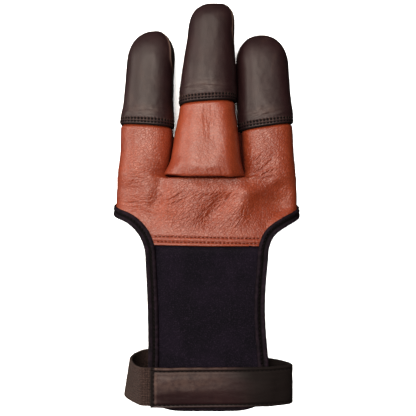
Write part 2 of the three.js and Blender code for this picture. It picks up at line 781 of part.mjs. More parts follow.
// The glove is set down with its origin under its middle.
const extent = new THREE.Box3().setFromObject(glove);
const middle = extent.getCenter(new THREE.Vector3());
glove.position.set(-middle.x, -middle.y, -extent.min.z);

export default glove;
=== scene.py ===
# %% [markdown]
# # A three-finger archery glove, dressed in Blender
# The glove lies on its far side with its black stretch panel up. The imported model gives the
# frame: where every piece is and how large. This file gives the looks: soft leather with its
# folds, stitched seams, woven tape and elastic. Every length below is in millimetres, in the
# pattern's own frame, and is turned into metres only when a mesh is made.

import math

import bmesh
import bpy
import numpy as np
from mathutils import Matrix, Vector, noise


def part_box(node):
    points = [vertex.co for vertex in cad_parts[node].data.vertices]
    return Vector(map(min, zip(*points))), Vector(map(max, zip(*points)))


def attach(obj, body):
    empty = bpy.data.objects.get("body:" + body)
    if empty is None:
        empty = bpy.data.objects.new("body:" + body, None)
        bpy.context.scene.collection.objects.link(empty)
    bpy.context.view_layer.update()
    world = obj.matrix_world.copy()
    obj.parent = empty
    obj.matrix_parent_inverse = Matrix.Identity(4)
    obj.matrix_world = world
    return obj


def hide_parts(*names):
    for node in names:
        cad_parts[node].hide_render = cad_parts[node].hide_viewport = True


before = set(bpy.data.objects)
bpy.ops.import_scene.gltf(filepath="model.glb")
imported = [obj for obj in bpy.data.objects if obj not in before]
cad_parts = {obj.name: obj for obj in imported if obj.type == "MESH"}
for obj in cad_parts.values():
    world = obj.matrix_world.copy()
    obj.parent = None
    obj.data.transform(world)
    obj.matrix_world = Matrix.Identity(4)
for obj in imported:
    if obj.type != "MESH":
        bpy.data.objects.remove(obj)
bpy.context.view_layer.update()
print("CAD nodes:", ", ".join(sorted(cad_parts)))

# %% [markdown]
# ## Camera
# The photograph looks straight down on the glove from about 35 cm. A camera points along its own
# -Z axis, so one with no rotation already looks down, and +Y is up in the picture. The focal
# length and the distance were worked out from how wide the glove is in the picture.

# %% Camera
scene = bpy.context.scene
lens = bpy.data.cameras.new("overhead_lens")
lens.sensor_width = 36
FOCAL_PIXELS, PHOTO_PIXELS = 640, 416
lens.lens = FOCAL_PIXELS / PHOTO_PIXELS * lens.sensor_width
camera = bpy.data.objects.new("overhead_camera", lens)
camera.location = (0.0007, -0.0048, 0.350)
scene.collection.objects.link(camera)
scene.camera = camera
print("lens:", round(lens.lens, 1), "mm")

# %% [markdown]
# ## Sizes and charts
# These repeat the sizes of the pattern that the solids were made from, so that each soft piece
# lies where its solid does. A chart is a short table with named columns and one row for each
# section. Between the rows a smooth curve runs through the values.

# %% Sizes
CLEARANCE, LEATHER, STALL, FABRIC, TAPE = 0.3, 1.3, 1.5, 1.6, 0.8
TAPE_WIDTH, TAPE_FOLD_GAP, TAPE_BEND = 4.9, 0.5, 0.6
STRAP, ELASTIC, FASTENER = 1.8, 1.4, 1.2
STRAP_WIDTH, ELASTIC_WIDTH, FASTENER_WIDTH = 19.0, 18.4, 17.0
PALM_HEIGHT, PALM_LENGTH, PALM_SHIFT = 27.0, 35.0, -0.7
PANEL_LENGTH, PANEL_LIFT, LAP = 77.0, 16.0, 6.0
UNDER_LIFT, PRESSED, SEAM_ROUND = TAPE + CLEARANCE, 0.7, 2.6
STALL_OVERLAP, HEM_STEP, HEM_RUN = 8.0, 0.6, 1.5
FINGER_POWER, ROOT_GAP, SEAM_SHARE = 2.75, 0.7, 0.985


class Chart:
    """A table with named columns; a smooth curve runs through its rows."""

    def __init__(self, names, *rows):
        self.columns = dict(zip(names.split(), np.array(rows, float).T))
        self.key = self.columns[names.split()[0]]

    def __call__(self, name, place):
        key, value = self.key, self.columns[name]
        last = len(key) - 1
        before = np.maximum(np.arange(last + 1) - 1, 0)
        after = np.minimum(np.arange(last + 1) + 1, last)
        slope = (value[after] - value[before]) / (key[after] - key[before])
        place = np.clip(place, key[0], key[-1])
        i = np.clip(np.searchsorted(key, place, side="right") - 1, 0, last - 1)
        span = key[i + 1] - key[i]
        u = (place - key[i]) / span
        v = 1 - u
        return (
            value[i] * v * v * (1 + 2 * u)
            + value[i + 1] * u * u * (1 + 2 * v)
            + (slope[i] * v - slope[i + 1] * u) * u * v * span
        )


print("panel:", PANEL_LENGTH, "mm long, palm:", PALM_LENGTH, "mm deep")

# %% Charts of the fingers and the hand part
FINGERS = {
    "index": dict(length=77.9, width=26.4, height=23, hem=27.2, tilt=-0.8, dome=15.4, power=2.05),
    "middle": dict(length=91.6, width=28, height=26, hem=38.8, tilt=0.9, dome=13, power=2.4),
    "ring": dict(length=75.7, width=28, height=23, hem=26.6, tilt=2.1, dome=15.7, power=2.1),
}
FINGER = {
    "index": Chart(
        "along sway width top under",
        (-0.34, 0, 0.84, 0.98, 0.1), (0, 0, 0.96, 1.1, 0.02), (0.54, 0.078, 1.05, 1.05, 0),
        (1, 0.09, 1.07, 1.02, 0), (1.2, 0.11, 1, 1, 0), (1.45, 0.132, 0.96, 0.98, 0),
        (1.72, 0.17, 0.95, 0.96, 0), (2, 0.225, 0.93, 0.9, 0.06),
    ),
    "middle": Chart(
        "along sway width top under",
        (0, 0, 1.42, 1.25, 0.1), (0.21, 0.004, 1.3, 1.25, 0.09), (0.52, 0.014, 1.2, 1.17, 0.07),
        (0.83, 0.028, 1.1, 1.1, 0.05), (1, 0.036, 1.07, 1.08, 0.04), (1.32, 0.06, 1.01, 1.05, 0.03),
        (1.55, 0.084, 0.93, 1.02, 0), (1.76, 0.115, 0.88, 0.98, 0), (2, 0.155, 0.88, 0.92, 0.06),
    ),
    "ring": Chart(
        "along sway width top under",
        (-0.34, 0, 0.84, 0.98, 0.1), (0, 0, 0.945, 1.1, 0.02), (0.54, -0.04, 1, 1.05, 0),
        (0.97, -0.066, 1.015, 1.02, 0), (1.34, -0.1, 0.99, 1, 0), (1.6, -0.122, 0.98, 0.98, 0),
        (1.77, -0.14, 0.975, 0.96, 0), (2, -0.162, 0.97, 0.9, 0.06),
    ),
}
HAND = Chart(
    "down width top lift power",
    (0, SEAM_SHARE, 0.985, 0, 3.8), (0.2, 0.995, 1, 0, 3.4), (0.45, 1, 1.03, 0.02, 2.9),
    (1, 1, 1.04, 0.2, 2.8), (1.5, 1, 1.04, 0.62, 2.8), (1.8, 1, 1, 0.93, 2.8), (2.2, 1, 1, 1, 2.8),
)
root = {name: FINGER[name]("width", 0.0) * FINGERS[name]["width"] for name in FINGERS}
SEAM_WIDTH = sum(root.values()) + 2 * ROOT_GAP
PALM_WIDTH = SEAM_WIDTH / SEAM_SHARE
BASE = {
    "index": PALM_SHIFT - SEAM_WIDTH / 2 + root["index"] / 2,
    "middle": PALM_SHIFT - SEAM_WIDTH / 2 + root["index"] + ROOT_GAP + root["middle"] / 2,
    "ring": PALM_SHIFT + SEAM_WIDTH / 2 - root["ring"] / 2,
}
strap_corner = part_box("wrist_strap")[0]
STRAP_START = -PALM_LENGTH - PANEL_LENGTH + 1.5
SHIFT = np.array([
    strap_corner.x * 1000 + 0.58 * PALM_WIDTH / 2,
    strap_corner.y * 1000 - STRAP_START,
    0.0,
])
print("palm", round(PALM_WIDTH, 1), "mm wide, frame shift", SHIFT.round(2))

# %% Charts of the taped edge and the big dents of the palm
EDGE = {
    -1: [
        (1, 0.3), (0.8, 0.33), (0.62, 0.43), (0.5, 0.5), (0.432, 0.56), (0.363, 0.64),
        (0.306, 0.8), (0.274, 1.005), (0.265, 1.13), (0.252, 1.42), (0.247, 1.65), (0.246, 1.83),
        (0.238, 1.91), (0.208, 1.966), (0.155, 1.992), (0.08, 1.997), (0, 1.997),
    ],
    1: [
        (1, 0.3), (0.8, 0.34), (0.62, 0.46), (0.5, 0.525), (0.448, 0.58), (0.366, 0.69),
        (0.305, 0.82), (0.276, 0.99), (0.267, 1.1), (0.252, 1.33), (0.252, 1.5), (0.261, 1.7),
        (0.264, 1.83), (0.253, 1.905), (0.218, 1.966), (0.16, 1.992), (0.08, 1.997), (0, 1.997),
    ],
}
DENTS = [  # across, down, turn, length, width, depth
    (-0.55, 0.3, 70, 0.3, 0.05, 0.048), (-0.64, 0.44, 20, 0.14, 0.06, 0.03),
    (0.56, 0.3, 32, 0.26, 0.1, 0.067), (-0.06, 0.42, 48, 0.22, 0.09, 0.041),
    (0.1, 0.12, -4, 0.4, 0.06, -0.037), (0.52, 0.06, -8, 0.2, 0.05, 0.033),
]

# %% [markdown]
# ## Helpers for soft shapes
# A finger or a hand inside a glove has a section between a circle and a box. The superellipse
# |x/a|^p + |z/b|^p = 1 gives such a curve: p = 2 is an ellipse, and a larger p is more square. It
# could be drawn by hand as a Bezier curve, but the solids use this one too, so the soft pieces
# fit them. A place round it is counted by length, so that points are evenly spread.


# %% Small helpers
def smooth(low, high, value):
    """An S curve from 0 at low to 1 at high; it runs down where low is the larger."""
    t = np.clip((value - low) / (high - low), 0, 1)
    return t * t * (3 - 2 * t)


def mix(a, b, share):
    return a + (b - a) * share


def bell(value, centre, width):
    """1 at the centre, fading out on both sides in about two widths."""
    return np.exp(-(((value - centre) / width) ** 2))


def unit(vectors):
    return vectors / np.maximum(np.linalg.norm(vectors, axis=-1, keepdims=True), 1e-9)


def laid_along(x, y, centre_x, centre_y, turn):
    """Places along and across a line through a centre, turned by some degrees."""
    c, s = math.cos(math.radians(turn)), math.sin(math.radians(turn))
    dx, dy = x - centre_x, y - centre_y
    return dx * c + dy * s, dy * c - dx * s


def run_of(line):
    """Millimetres from a line's start to each of its points."""
    return np.concatenate([[0], np.cumsum(np.linalg.norm(np.diff(line, axis=0), axis=1))])


def sampled(at, run, line):
    return np.stack([np.interp(at, run, column) for column in line.T], -1)


def waves(points, octaves=3):
    """A soft noise of both signs at each point."""
    values = [noise.fractal(Vector(point), 1.0, 2.0, octaves) for point in points.reshape(-1, 3)]
    return np.array(values).reshape(points.shape[:-1])


print("smooth at a quarter:", smooth(0, 1, 0.25), "bell at one width:", round(bell(1, 0, 1), 3))


# %% Rounded sections
def quarter(share, half, rise, power):
    """Sideways and upwards places of a point, at a share of the length of a quarter turn."""
    share, half, rise, power = (a[..., None] for a in np.broadcast_arrays(share, half, rise, power))
    turn = np.linspace(0, math.pi / 2, 129)
    across, up = half * np.sin(turn) ** (2 / power), rise * np.cos(turn) ** (2 / power)
    run = np.cumsum(np.hypot(np.diff(across), np.diff(up)), -1)
    run = np.concatenate([np.zeros_like(run[..., :1]), run], -1)
    wanted = share * run[..., -1:]
    i = np.clip((run <= wanted).sum(-1, keepdims=True) - 1, 0, len(turn) - 2)
    here, there = np.take_along_axis(run, i, -1), np.take_along_axis(run, i + 1, -1)
    at = np.clip((wanted - here) / np.maximum(there - here, 1e-9), 0, 1)
    return tuple(
        mix(np.take_along_axis(a, i, -1), np.take_along_axis(a, i + 1, -1), at)[..., 0]
        for a in (across, up)
    )


def section_point(section, around, inset):
    """x and z at a signed place round a section: 0 on top, 0.5 at the side, 1 underneath."""
    centre, half, top, bottom, floor_height, power = section
    place = (around + 1) % 2 - 1
    share = np.where(abs(place) < 0.5, abs(place) * 2, (1 - abs(place)) * 2)
    rise = (top - bottom) / 2 - inset
    x, up = quarter(share, np.maximum(half - inset, 0.02), np.maximum(rise, 0.02), power)
    z = (top + bottom) / 2 + np.where(abs(place) < 0.5, up, -up)
    return centre + np.sign(place) * x, np.maximum(z, floor_height + inset)


def hand_section(y):
    down = np.where(y >= -PALM_LENGTH, -y / PALM_LENGTH, 1 - (PALM_LENGTH + y) / PANEL_LENGTH)
    top = PALM_HEIGHT * HAND("top", down) + PANEL_LIFT * HAND("lift", down)
    under = UNDER_LIFT * smooth(0, 0.17, down)
    bottom = np.maximum(top - PALM_HEIGHT - PRESSED, under - PRESSED)
    return PALM_SHIFT, PALM_WIDTH / 2 * HAND("width", down), top, bottom, under, HAND("power", down)


def finger_section(name, y, inset=0.0):
    size, chart = FINGERS[name], FINGER[name]
    hem, length = size["hem"], size["length"]
    along = np.where(y < hem, y / hem, 1 + (y - hem) / (length - hem))
    turned = np.clip((y - length + size["dome"]) / (size["dome"] - inset), 0, 1)
    dome = (1 - turned ** size["power"]) ** (1 / size["power"])
    top, under = size["height"] * chart("top", along), size["height"] * chart("under", along)
    rise, middle = ((top - under) / 2 - inset) * dome, (top + under) / 2
    half = (size["width"] / 2 * chart("width", along) - inset) * dome
    centre = BASE[name] + chart("sway", along) * size["width"]
    return centre, half, middle + rise, middle - rise - PRESSED * dome, middle - rise, FINGER_POWER


print("palm's section at the knuckles:", [round(float(v), 1) for v in hand_section(np.array(-20.0))])


# %% Points on the hand part and on a finger
def dent_depth(x, y):
    depth, half = 0.0, PALM_WIDTH / 2
    for across, down, turn, length, width, share in DENTS:
        along, over = laid_along(x, y, PALM_SHIFT + across * half, -down * PALM_LENGTH, turn)
        depth = depth + share * PALM_HEIGHT * bell(along, 0, length * half) * bell(over, 0, width * half)
    return depth


def hand_point(around, y, inset=0.0):
    """A point of the hand part's face, at a signed place round it, set in by some millimetres."""
    around, y, inset = np.broadcast_arrays(around, y, inset)
    x, z = section_point(hand_section(y), around, inset)
    upper = 1 - smooth(0.34, 0.46, abs((around + 1) % 2 - 1))
    return np.stack([x, y, z - dent_depth(x, y) * upper], -1)


def finger_point(name, around, y, inset=0.0):
    """A point of a finger's skin; the hem's tilt fades towards the tip and the palm."""
    size = FINGERS[name]
    around, y, inset = np.broadcast_arrays(around, y, inset)
    section = finger_section(name, y, inset)
    x, z = section_point(section, around, 0.0)
    fade = 1 - np.minimum(abs(y - size["hem"]) / (size["hem"] * 0.8), 1)
    lean = (x - section[0]) / np.maximum(section[1], 0.02) * size["tilt"] * fade
    return np.stack([x, y + lean, z], -1)


tip = finger_point("middle", 0.0, FINGERS["middle"]["length"] - 1)
print("near the middle fingertip:", tip.round(1), "mm")

# %% [markdown]
# A mesh is a list of points and a list of faces. Most pieces here are rings of points, one after
# the other, with a four-sided face between each two neighbours. A curve with a bevel makes such
# a strip too, but only with one section all along it. A strip also keeps a "cloth" coordinate,
# millimetres along and across it, so that its weave follows it round every bend.


# %% Meshes from rings of points
def new_piece(name, points, faces, material, replaces=(), slot=None, cloth=None, **masks):
    """A piece of the glove; each mask is a number for each point, or one for them all."""
    mesh = bpy.data.meshes.new(name)
    mesh.from_pydata((np.asarray(points) + SHIFT) / 1000, [], faces)
    mesh.shade_smooth()
    mesh.materials.append(material)
    if cloth is not None:
        layer = mesh.attributes.new("cloth", "FLOAT_VECTOR", "POINT")
        layer.data.foreach_set("vector", np.asarray(cloth, np.float32).ravel())
    for mask, values in masks.items():
        layer = mesh.attributes.new(mask, "FLOAT", "POINT")
        values = np.broadcast_to(np.ravel(values), len(points))
        layer.data.foreach_set("value", values.astype(np.float32))
    piece = bpy.data.objects.new(name, mesh)
    scene.collection.objects.link(piece)
    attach(piece, "root")
    if replaces:
        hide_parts(*replaces)
    print(f"{name}: {len(mesh.polygons)} faces")
    return piece


def ring_faces(rings, size, joined=False):
    """Faces between rings of points; the ends are closed, or the last ring joins the first."""
    at = np.arange(rings * size).reshape(rings, size)
    below, above = (at, np.roll(at, -1, 0)) if joined else (at[:-1], at[1:])
    quads = np.stack([below, np.roll(below, -1, 1), np.roll(above, -1, 1), above], -1)
    faces = quads.reshape(-1, 4).tolist()
    if not joined:
        faces += [at[0, ::-1].tolist(), at[-1].tolist()]
    return faces


def faces_outwards(piece):
    """Turns a closed mesh's faces so that they all point out."""
    work = bmesh.new()
    work.from_mesh(piece.data)
    bmesh.ops.recalc_face_normals(work, faces=work.faces)
    work.to_mesh(piece.data)
    work.free()


def ring_piece(name, rings, material, replaces, slot, joined=False, **layers):
    faces = ring_faces(*rings.shape[:2], joined)
    piece = new_piece(name, rings.reshape(-1, 3), faces, material, [replaces], slot, **layers)
    faces_outwards(piece)
    return piece


def cloth_grid(along, across):
    """The cloth coordinate of a strip of rings."""
    along, across = np.broadcast_arrays(along[:, None], across[None])
    return np.stack([along, across, 0 * along], -1)


print("faces of two rings of four points:", len(ring_faces(2, 4)))

# %% [markdown]
# ## Shader maths as Python
# A material is a graph of nodes, which is hard to read as code. The class below wraps one socket
# of such a graph. Sums on it add the Math nodes by themselves, so `1 - mask * 0.4` is a small
# graph of two nodes. Colours and vectors go through Mix and Vector Math nodes instead.


# %% One wire of a material
class Wire:
    """A socket of a material's graph that can be used in Python sums."""

    def __init__(self, tree, socket=None):
        self.tree, self.socket = tree, socket

    def node(self, kind, settings=None, inputs=None, out=0):
        made = self.tree.nodes.new(kind)
        for name, value in (settings or {}).items():
            setattr(made, name, value)
        for name, value in (inputs or {}).items():
            if isinstance(value, Wire):
                self.tree.links.new(value.socket, made.inputs[name])
            else:
                made.inputs[name].default_value = value
        return Wire(self.tree, made.outputs[out] if len(made.outputs) else None)

    def sum(self, operation, a, b=0.0):
        vector = any(isinstance(w, Wire) and w.socket.type == "VECTOR" for w in (a, b))
        kind = "ShaderNodeVectorMath" if vector else "ShaderNodeMath"
        if vector and not isinstance(b, Wire) and not hasattr(b, "__len__"):
            b = (b, b, b)
        return self.node(kind, {"operation": operation}, {0: a, 1: b})

    def __add__(self, other):
        return self.sum("ADD", self, other)

    __radd__ = __add__

    def __sub__(self, other):
        return self.sum("SUBTRACT", self, other)

    def __rsub__(self, other):
        return self.sum("SUBTRACT", other, self)

    def __mul__(self, other):
        return self.sum("MULTIPLY", self, other)

    __rmul__ = __mul__

    def __abs__(self):
        return self.sum("ABSOLUTE", self)

    def sine(self):
        return self.sum("SINE", self)

    def between(self, low, high):
        """0 below low, 1 above high and smooth in between."""
        inputs = {"Value": self, "From Min": low, "From Max": high}
        return self.node("ShaderNodeMapRange", {"interpolation_type": "SMOOTHSTEP"}, inputs)

    def blend(self, a, b):
        """Colour a where this wire is 0 and colour b where it is 1."""
        made = self.tree.nodes.new("ShaderNodeMix")
        made.data_type = "RGBA"
        for socket, value in zip((made.inputs[0], made.inputs[6], made.inputs[7]), (self, a, b)):
            if isinstance(value, Wire):
                self.tree.links.new(value.socket, socket)
            else:
                socket.default_value = (*value, 1)
        return Wire(self.tree, made.outputs[2])

    def noise(self, scale, detail=3.0, rough=0.55):
        inputs = {"Vector": self, "Scale": scale, "Detail": detail, "Roughness": rough}
        return self.node("ShaderNodeTexNoise", {}, inputs)

    def cells(self, scale, feature="F1"):
        settings = {"feature": feature, "voronoi_dimensions": "3D"}
        return self.node("ShaderNodeTexVoronoi", settings, {"Vector": self, "Scale": scale})


def srgb(red, green, blue):
    """A colour as it looks on a screen, 0 to 255, turned into light."""
    shares = [c / 255 for c in (red, green, blue)]
    return tuple(c / 12.92 if c <= 0.04045 else ((c + 0.055) / 1.055) ** 2.4 for c in shares)


def finish(name, recipe):
    """A material from a recipe: a function that is given a wire and returns the shader's inputs."""
    material = bpy.data.materials.new(name)
    material.use_nodes = True
    tree = material.node_tree
    tree.nodes.clear()
    start = Wire(tree)
    shader = start.node("ShaderNodeBsdfPrincipled", {}, recipe(start))
    start.node("ShaderNodeOutputMaterial", {}, {"Surface": shader})
    return material


def place_of(start):
    """The object's own coordinates, in metres."""
    return start.node("ShaderNodeTexCoord", out=3)


def cloth_of(start):
    """Two wires: millimetres along and across a strip, kept on its mesh."""
    cloth = start.node("ShaderNodeAttribute", {"attribute_name": "cloth"}, out=1)
    along = start.node("ShaderNodeSeparateXYZ", {}, {0: cloth})
    return along, Wire(start.tree, along.socket.node.outputs[1])


def mask_of(start, name):
    return start.node("ShaderNodeAttribute", {"attribute_name": name}, out=2)


def bumped(height, distance, strength):
    inputs = {"Height": height, "Distance": distance, "Strength": strength}
    return height.node("ShaderNodeBump", {}, inputs)


print("middle grey as light:", [round(c, 3) for c in srgb(128, 128, 128)])

# %% [markdown]
# ## Finishes
# Soft tan leather is a warm brown that varies a little, with a net of fine creases that runs
# along the folds. A picture of leather could be wrapped round it, but it would have seams and
# wouldn't follow the folds. Noise and cells fill space, so they have no seam, and masks on the
# mesh turn them: "slant", "level" and "upright" say which way the net is drawn out, "calm" where
# it is weaker, and a painted-shade mask says where shade is painted in as darker, duller leather.


# %% Tan leather
def turned(start, place, degrees, stretch):
    """Coordinates turned about the vertical and drawn out, so that a texture runs along them."""
    angle = {"Vector": place, "Angle": math.radians(-degrees)}
    turn = start.node("ShaderNodeVectorRotate", {"rotation_type": "Z_AXIS"}, angle)
    return turn * (1 / stretch, 1.0, 1.0)


def crinkle(start, place, degrees, stretch, scale):
    """A net of thin valleys that run along one direction: 0 in a valley, 1 between them."""
    drift = start.node("ShaderNodeTexNoise", {}, {"Vector": place, "Scale": 260.0}, out=1)
    net = turned(start, place + drift * 0.0022, degrees, stretch)
    return net.cells(scale, "DISTANCE_TO_EDGE").between(0.0, 0.22)


def tan_recipe(start):
    place, hollow = place_of(start), mask_of(start, "hollow")
    slant, level, upright = (mask_of(start, name) for name in ("slant", "level", "upright"))
    cloud = place.noise(45, 4, 0.6)
    grain = place.noise(1000, 4, 0.65)
    worn = place.noise(160, 5, 0.65)
    net = crinkle(start, place, 30, 1.6, 900.0)
    long_net = 1 - (1 - crinkle(start, place, 42, 3.2, 640.0)) * slant
    long_net = long_net - (1 - crinkle(start, place, 4, 3.5, 620.0)) * level
    long_net = long_net - (1 - crinkle(start, place, 88, 3.5, 640.0)) * upright * 0.35
    colour = cloud.between(0.3, 0.7).blend(srgb(144, 57, 29), srgb(160, 68, 37))
    colour = (worn.between(0.45, 0.75) * 0.35).blend(colour, srgb(176, 86, 52))
    # Painted shade: the valleys of the crease net are coloured darker.
    colour = ((1 - net) * 0.35).blend(colour, srgb(104, 32, 16))
    # Painted shade: where the shade mask is set, the leather turns a deep red-brown.
    colour = hollow.between(0.1, 0.9).blend(colour, srgb(88, 24, 12))
    height = net * 0.55 + long_net * 1.1 + grain * 0.2 + worn * 0.4
    height = height * (1 - 0.6 * mask_of(start, "calm"))
    return {
        "Base Color": colour,
        "Roughness": 0.34 + grain * 0.08 + hollow * 0.2,
        "Specular IOR Level": 0.68,
        "Coat Weight": 0.2,
        "Coat Roughness": 0.4,
        "Normal": bumped(height, 0.0003, 0.62),
    }


tan_leather = finish("tan_leather", tan_recipe)
print("nodes in the tan leather:", len(tan_leather.node_tree.nodes))

# %% [markdown]
# The stalls and the strap are smooth dark brown leather, dyed and waxed, with a tight grain,
# fine rub marks and a soft shine. It could be the tan recipe in another colour, but that net of
# creases would look too coarse on it, so it has pores instead, and a thin coat for the wax. One
# mask paints highlights: above the stalls' hems, between their stitches, along their seams and on
# the strap's upper left. On the strap's raw edges the same mask marks paler wear.


# %% Dark leather
def brown_recipe(start):
    place, hollow, rubbed = place_of(start), mask_of(start, "hollow"), mask_of(start, "rubbed")
    cloud = place.noise(60, 4, 0.6)
    pores = place.cells(2300, "DISTANCE_TO_EDGE").between(0.0, 0.14)
    grain = place.noise(1100, 4, 0.6)
    rubs = (place * (260, 90, 200)).noise(1.0, 5, 0.7)
    colour = cloud.between(0.3, 0.7).blend(srgb(37, 19, 22), srgb(47, 27, 30))
    colour = (rubs.between(0.5, 0.8) * 0.5).blend(colour, srgb(66, 46, 42))
    # Painted highlight, with real wear on the strap's edges: the leather turns a pale grey-brown, paler
    # still above 0.9.
    colour = (rubbed * place.noise(330, 4, 0.7).between(0.25, 0.65)).blend(colour, srgb(101, 80, 74))
    colour = rubbed.between(0.9, 1.6).blend(colour, srgb(128, 106, 98))
    # Painted shade: where the shade mask is set, the leather goes near black.
    colour = hollow.between(0.1, 0.9).blend(colour, srgb(17, 8, 8))
    return {
        "Base Color": colour,
        "Roughness": 0.36 + rubs * 0.14 + hollow * 0.4,
        "Specular IOR Level": 0.31,
        "Coat Weight": 0.21 * (1 - hollow),
        "Coat Roughness": 0.32,
        "Normal": bumped(pores * 0.3 + grain * 0.7 + rubs * 0.5, 0.00012, 0.7),
    }


brown_leather = finish("brown_leather", brown_recipe)
print("nodes in the dark leather:", len(brown_leather.node_tree.nodes))

# %% [markdown]
# The stretch panel is a fine jersey over foam, almost black with a breath of blue. Its loops
# could be real threads, but they are under half a millimetre, so two crossed waves along the
# strip's own coordinates are enough, with lint that catches the light here and there. The tape
# is ribbed in the same way, and the elastic has cords and the cross threads that bind them.


# %% Stretch fabric, tape and elastic
def fabric_recipe(start):
    (along, across), place = cloth_of(start), place_of(start)
    loops = (along * 9.0).sine() * (across * 11.0).sine()
    lint = place.noise(2100, 3, 0.7)
    cloud = place.noise(70, 3)
    colour = cloud.between(0.3, 0.7).blend(srgb(12, 11, 20), srgb(22, 17, 30))
    colour = (lint.between(0.5, 0.72) * 0.7).blend(colour, srgb(58, 48, 66))
    return {
        "Base Color": colour,
        "Roughness": 0.95,
        "Specular IOR Level": 0.12,
        "Sheen Weight": 0.02,
        "Normal": bumped(loops * 0.5 + lint * 0.8, 0.0002, 0.9),
    }


def tape_recipe(start):
    (along, across), place, hollow = cloth_of(start), place_of(start), mask_of(start, "hollow")
    ribs = (along * 12.0 + across * 4.0).sine()
    rubs = place.noise(420, 4, 0.65)
    colour = rubs.between(0.35, 0.75).blend(srgb(15, 10, 18), srgb(38, 27, 38))
    # Painted shade: where the shade mask is set, the tape goes near black.
    colour = hollow.between(0.1, 0.9).blend(colour, srgb(3, 2, 3))
    return {
        "Base Color": colour,
        "Roughness": 0.6 + rubs * 0.2 + hollow * 0.15,
        "Specular IOR Level": 0.12,
        "Normal": bumped(ribs * 0.25 + rubs * 1.2, 0.00018, 0.9),
    }


def elastic_recipe(start):
    (along, across), place = cloth_of(start), place_of(start)
    cords = abs((along * 3.9).sine())
    picks = (across * 5.5).sine()
    fuzz = place.noise(1300, 3, 0.7)
    colour = fuzz.between(0.3, 0.75).blend(srgb(44, 31, 29), srgb(80, 62, 57))
    colour = cords.between(0.0, 0.35).blend(srgb(22, 14, 14), colour)
    return {
        "Base Color": colour,
        "Roughness": 0.86,
        "Specular IOR Level": 0.25,
        "Sheen Weight": 0.05,
        "Normal": bumped(cords * 0.9 + picks * 0.35 + fuzz * 0.5, 0.0003, 0.9),
    }


stretch_fabric = finish("stretch_fabric", fabric_recipe)
edge_tape_weave = finish("edge_tape_weave", tape_recipe)
elastic_weave = finish("elastic_weave", elastic_recipe)
print("fabric, tape and elastic are finished")

# %% [markdown]
# The thread, the hidden closure's hooks and the paper floor are small or plain in the picture.
# Thread could be twisted from fibres, but one noise for its twist is all that can be seen.


# %% Thread, closure and paper
def thread_recipe(dark, light, rough):
    def recipe(start):
        twist = place_of(start).noise(2600, 2)
        colour = twist.between(0.35, 0.7).blend(dark, light)
        look = {"Base Color": colour, "Roughness": rough, "Specular IOR Level": 0.15}
        return {**look, "Normal": bumped(twist, 0.0001, 0.6)}

    return recipe


def closure_recipe(start):
    hooks = place_of(start).cells(1400)
    colour = hooks.between(0.1, 0.6).blend(srgb(34, 31, 35), srgb(12, 11, 13))
    return {"Base Color": colour, "Roughness": 0.95, "Normal": bumped(1 - hooks, 0.0004, 1.0)}


def paper_recipe(start):
    tooth = place_of(start).noise(300, 3)
    colour = tooth.between(0.2, 0.8).blend((0.86, 0.86, 0.86), (0.9, 0.9, 0.9))
    return {"Base Color": colour, "Roughness": 0.9}


black_thread = finish("black_thread", thread_recipe(srgb(6, 4, 5), srgb(18, 13, 14), 0.8))
red_thread = finish("red_thread", thread_recipe(srgb(78, 26, 15), srgb(118, 48, 30), 0.75))
hook_closure = finish("hook_closure", closure_recipe)
print("finishes:", ", ".join(m.name for m in bpy.data.materials if m.users))

# %% [markdown]
# ## Light
# A product photograph is lit by large soft boxes. The key light is high and to the left, as the
# bright bands on the fingertips show, a second one comes in lower from the side, and a weaker
# one from beyond the fingertips lights the slopes that face it. The right sides stay dark. One
# big lamp could do all this, but then the palm's folds would be flat. The paper has a light of
# its own, which is linked to the paper alone and washes the shadows out, and it isn't seen in
# the glove's gloss, as if black flags stood round the glove. The world is a sky that is pale
# above and to the left, and dark below.


# %% Soft boxes, world and floor
WARM, WHITE = (1, 0.87, 0.75), (1, 1, 1)


def soft_box(name, place, size, power, colour=WARM, only_on=None):
    """A square lamp that points at the glove; it can light one object only."""
    light = bpy.data.lights.new(name, "AREA")
    light.shape, light.size, light.energy, light.color = "SQUARE", size, power, colour
    lamp = bpy.data.objects.new(name, light)
    lamp.location = place
    lamp.rotation_euler = (-Vector(place)).to_track_quat("-Z", "Y").to_euler()
    lamp.visible_camera = False
    scene.collection.objects.link(lamp)
    if only_on:
        lit = bpy.data.collections.new(f"{name}_lights")
        lit.objects.link(only_on)
        lamp.light_linking.receiver_collection = lit


bpy.ops.mesh.primitive_plane_add(size=6, location=(0, 0, -0.0002))
floor = bpy.context.object
floor.name = "paper_floor"
floor.visible_glossy = floor.visible_diffuse = False
floor.data.materials.append(finish("paper", paper_recipe))

soft_box("key_light", (-0.11, 0.15, 0.72), 0.32, 3.1)
soft_box("side_light", (-0.6, 0.14, 0.38), 0.5, 3.3)
soft_box("far_light", (-0.14, 0.46, 0.56), 0.4, 1.7)
soft_box("paper_light", (0, 0, 1.6), 2.4, 150.0, WHITE, only_on=floor)
print("lights:", ", ".join(light.name for light in bpy.data.lights))

world = bpy.data.worlds.new("studio")
world.use_nodes = True
world.node_tree.nodes.clear()
sky = Wire(world.node_tree)
PALE_SIDE = (-0.66, 0.3, 0.69)
sides = {0: sky.node("ShaderNodeTexCoord"), 1: PALE_SIDE}
height = sky.node("ShaderNodeVectorMath", {"operation": "DOT_PRODUCT"}, sides, out=1)
strength = height.between(-0.2, 1.0) * 0.2 + 0.02
glow = sky.node("ShaderNodeBackground", {}, {"Color": (1, 0.93, 0.9, 1), "Strength": strength})
sky.node("ShaderNodeOutputWorld", {}, {"Surface": glow})
scene.world = world
scene.view_settings.view_transform = "Standard"

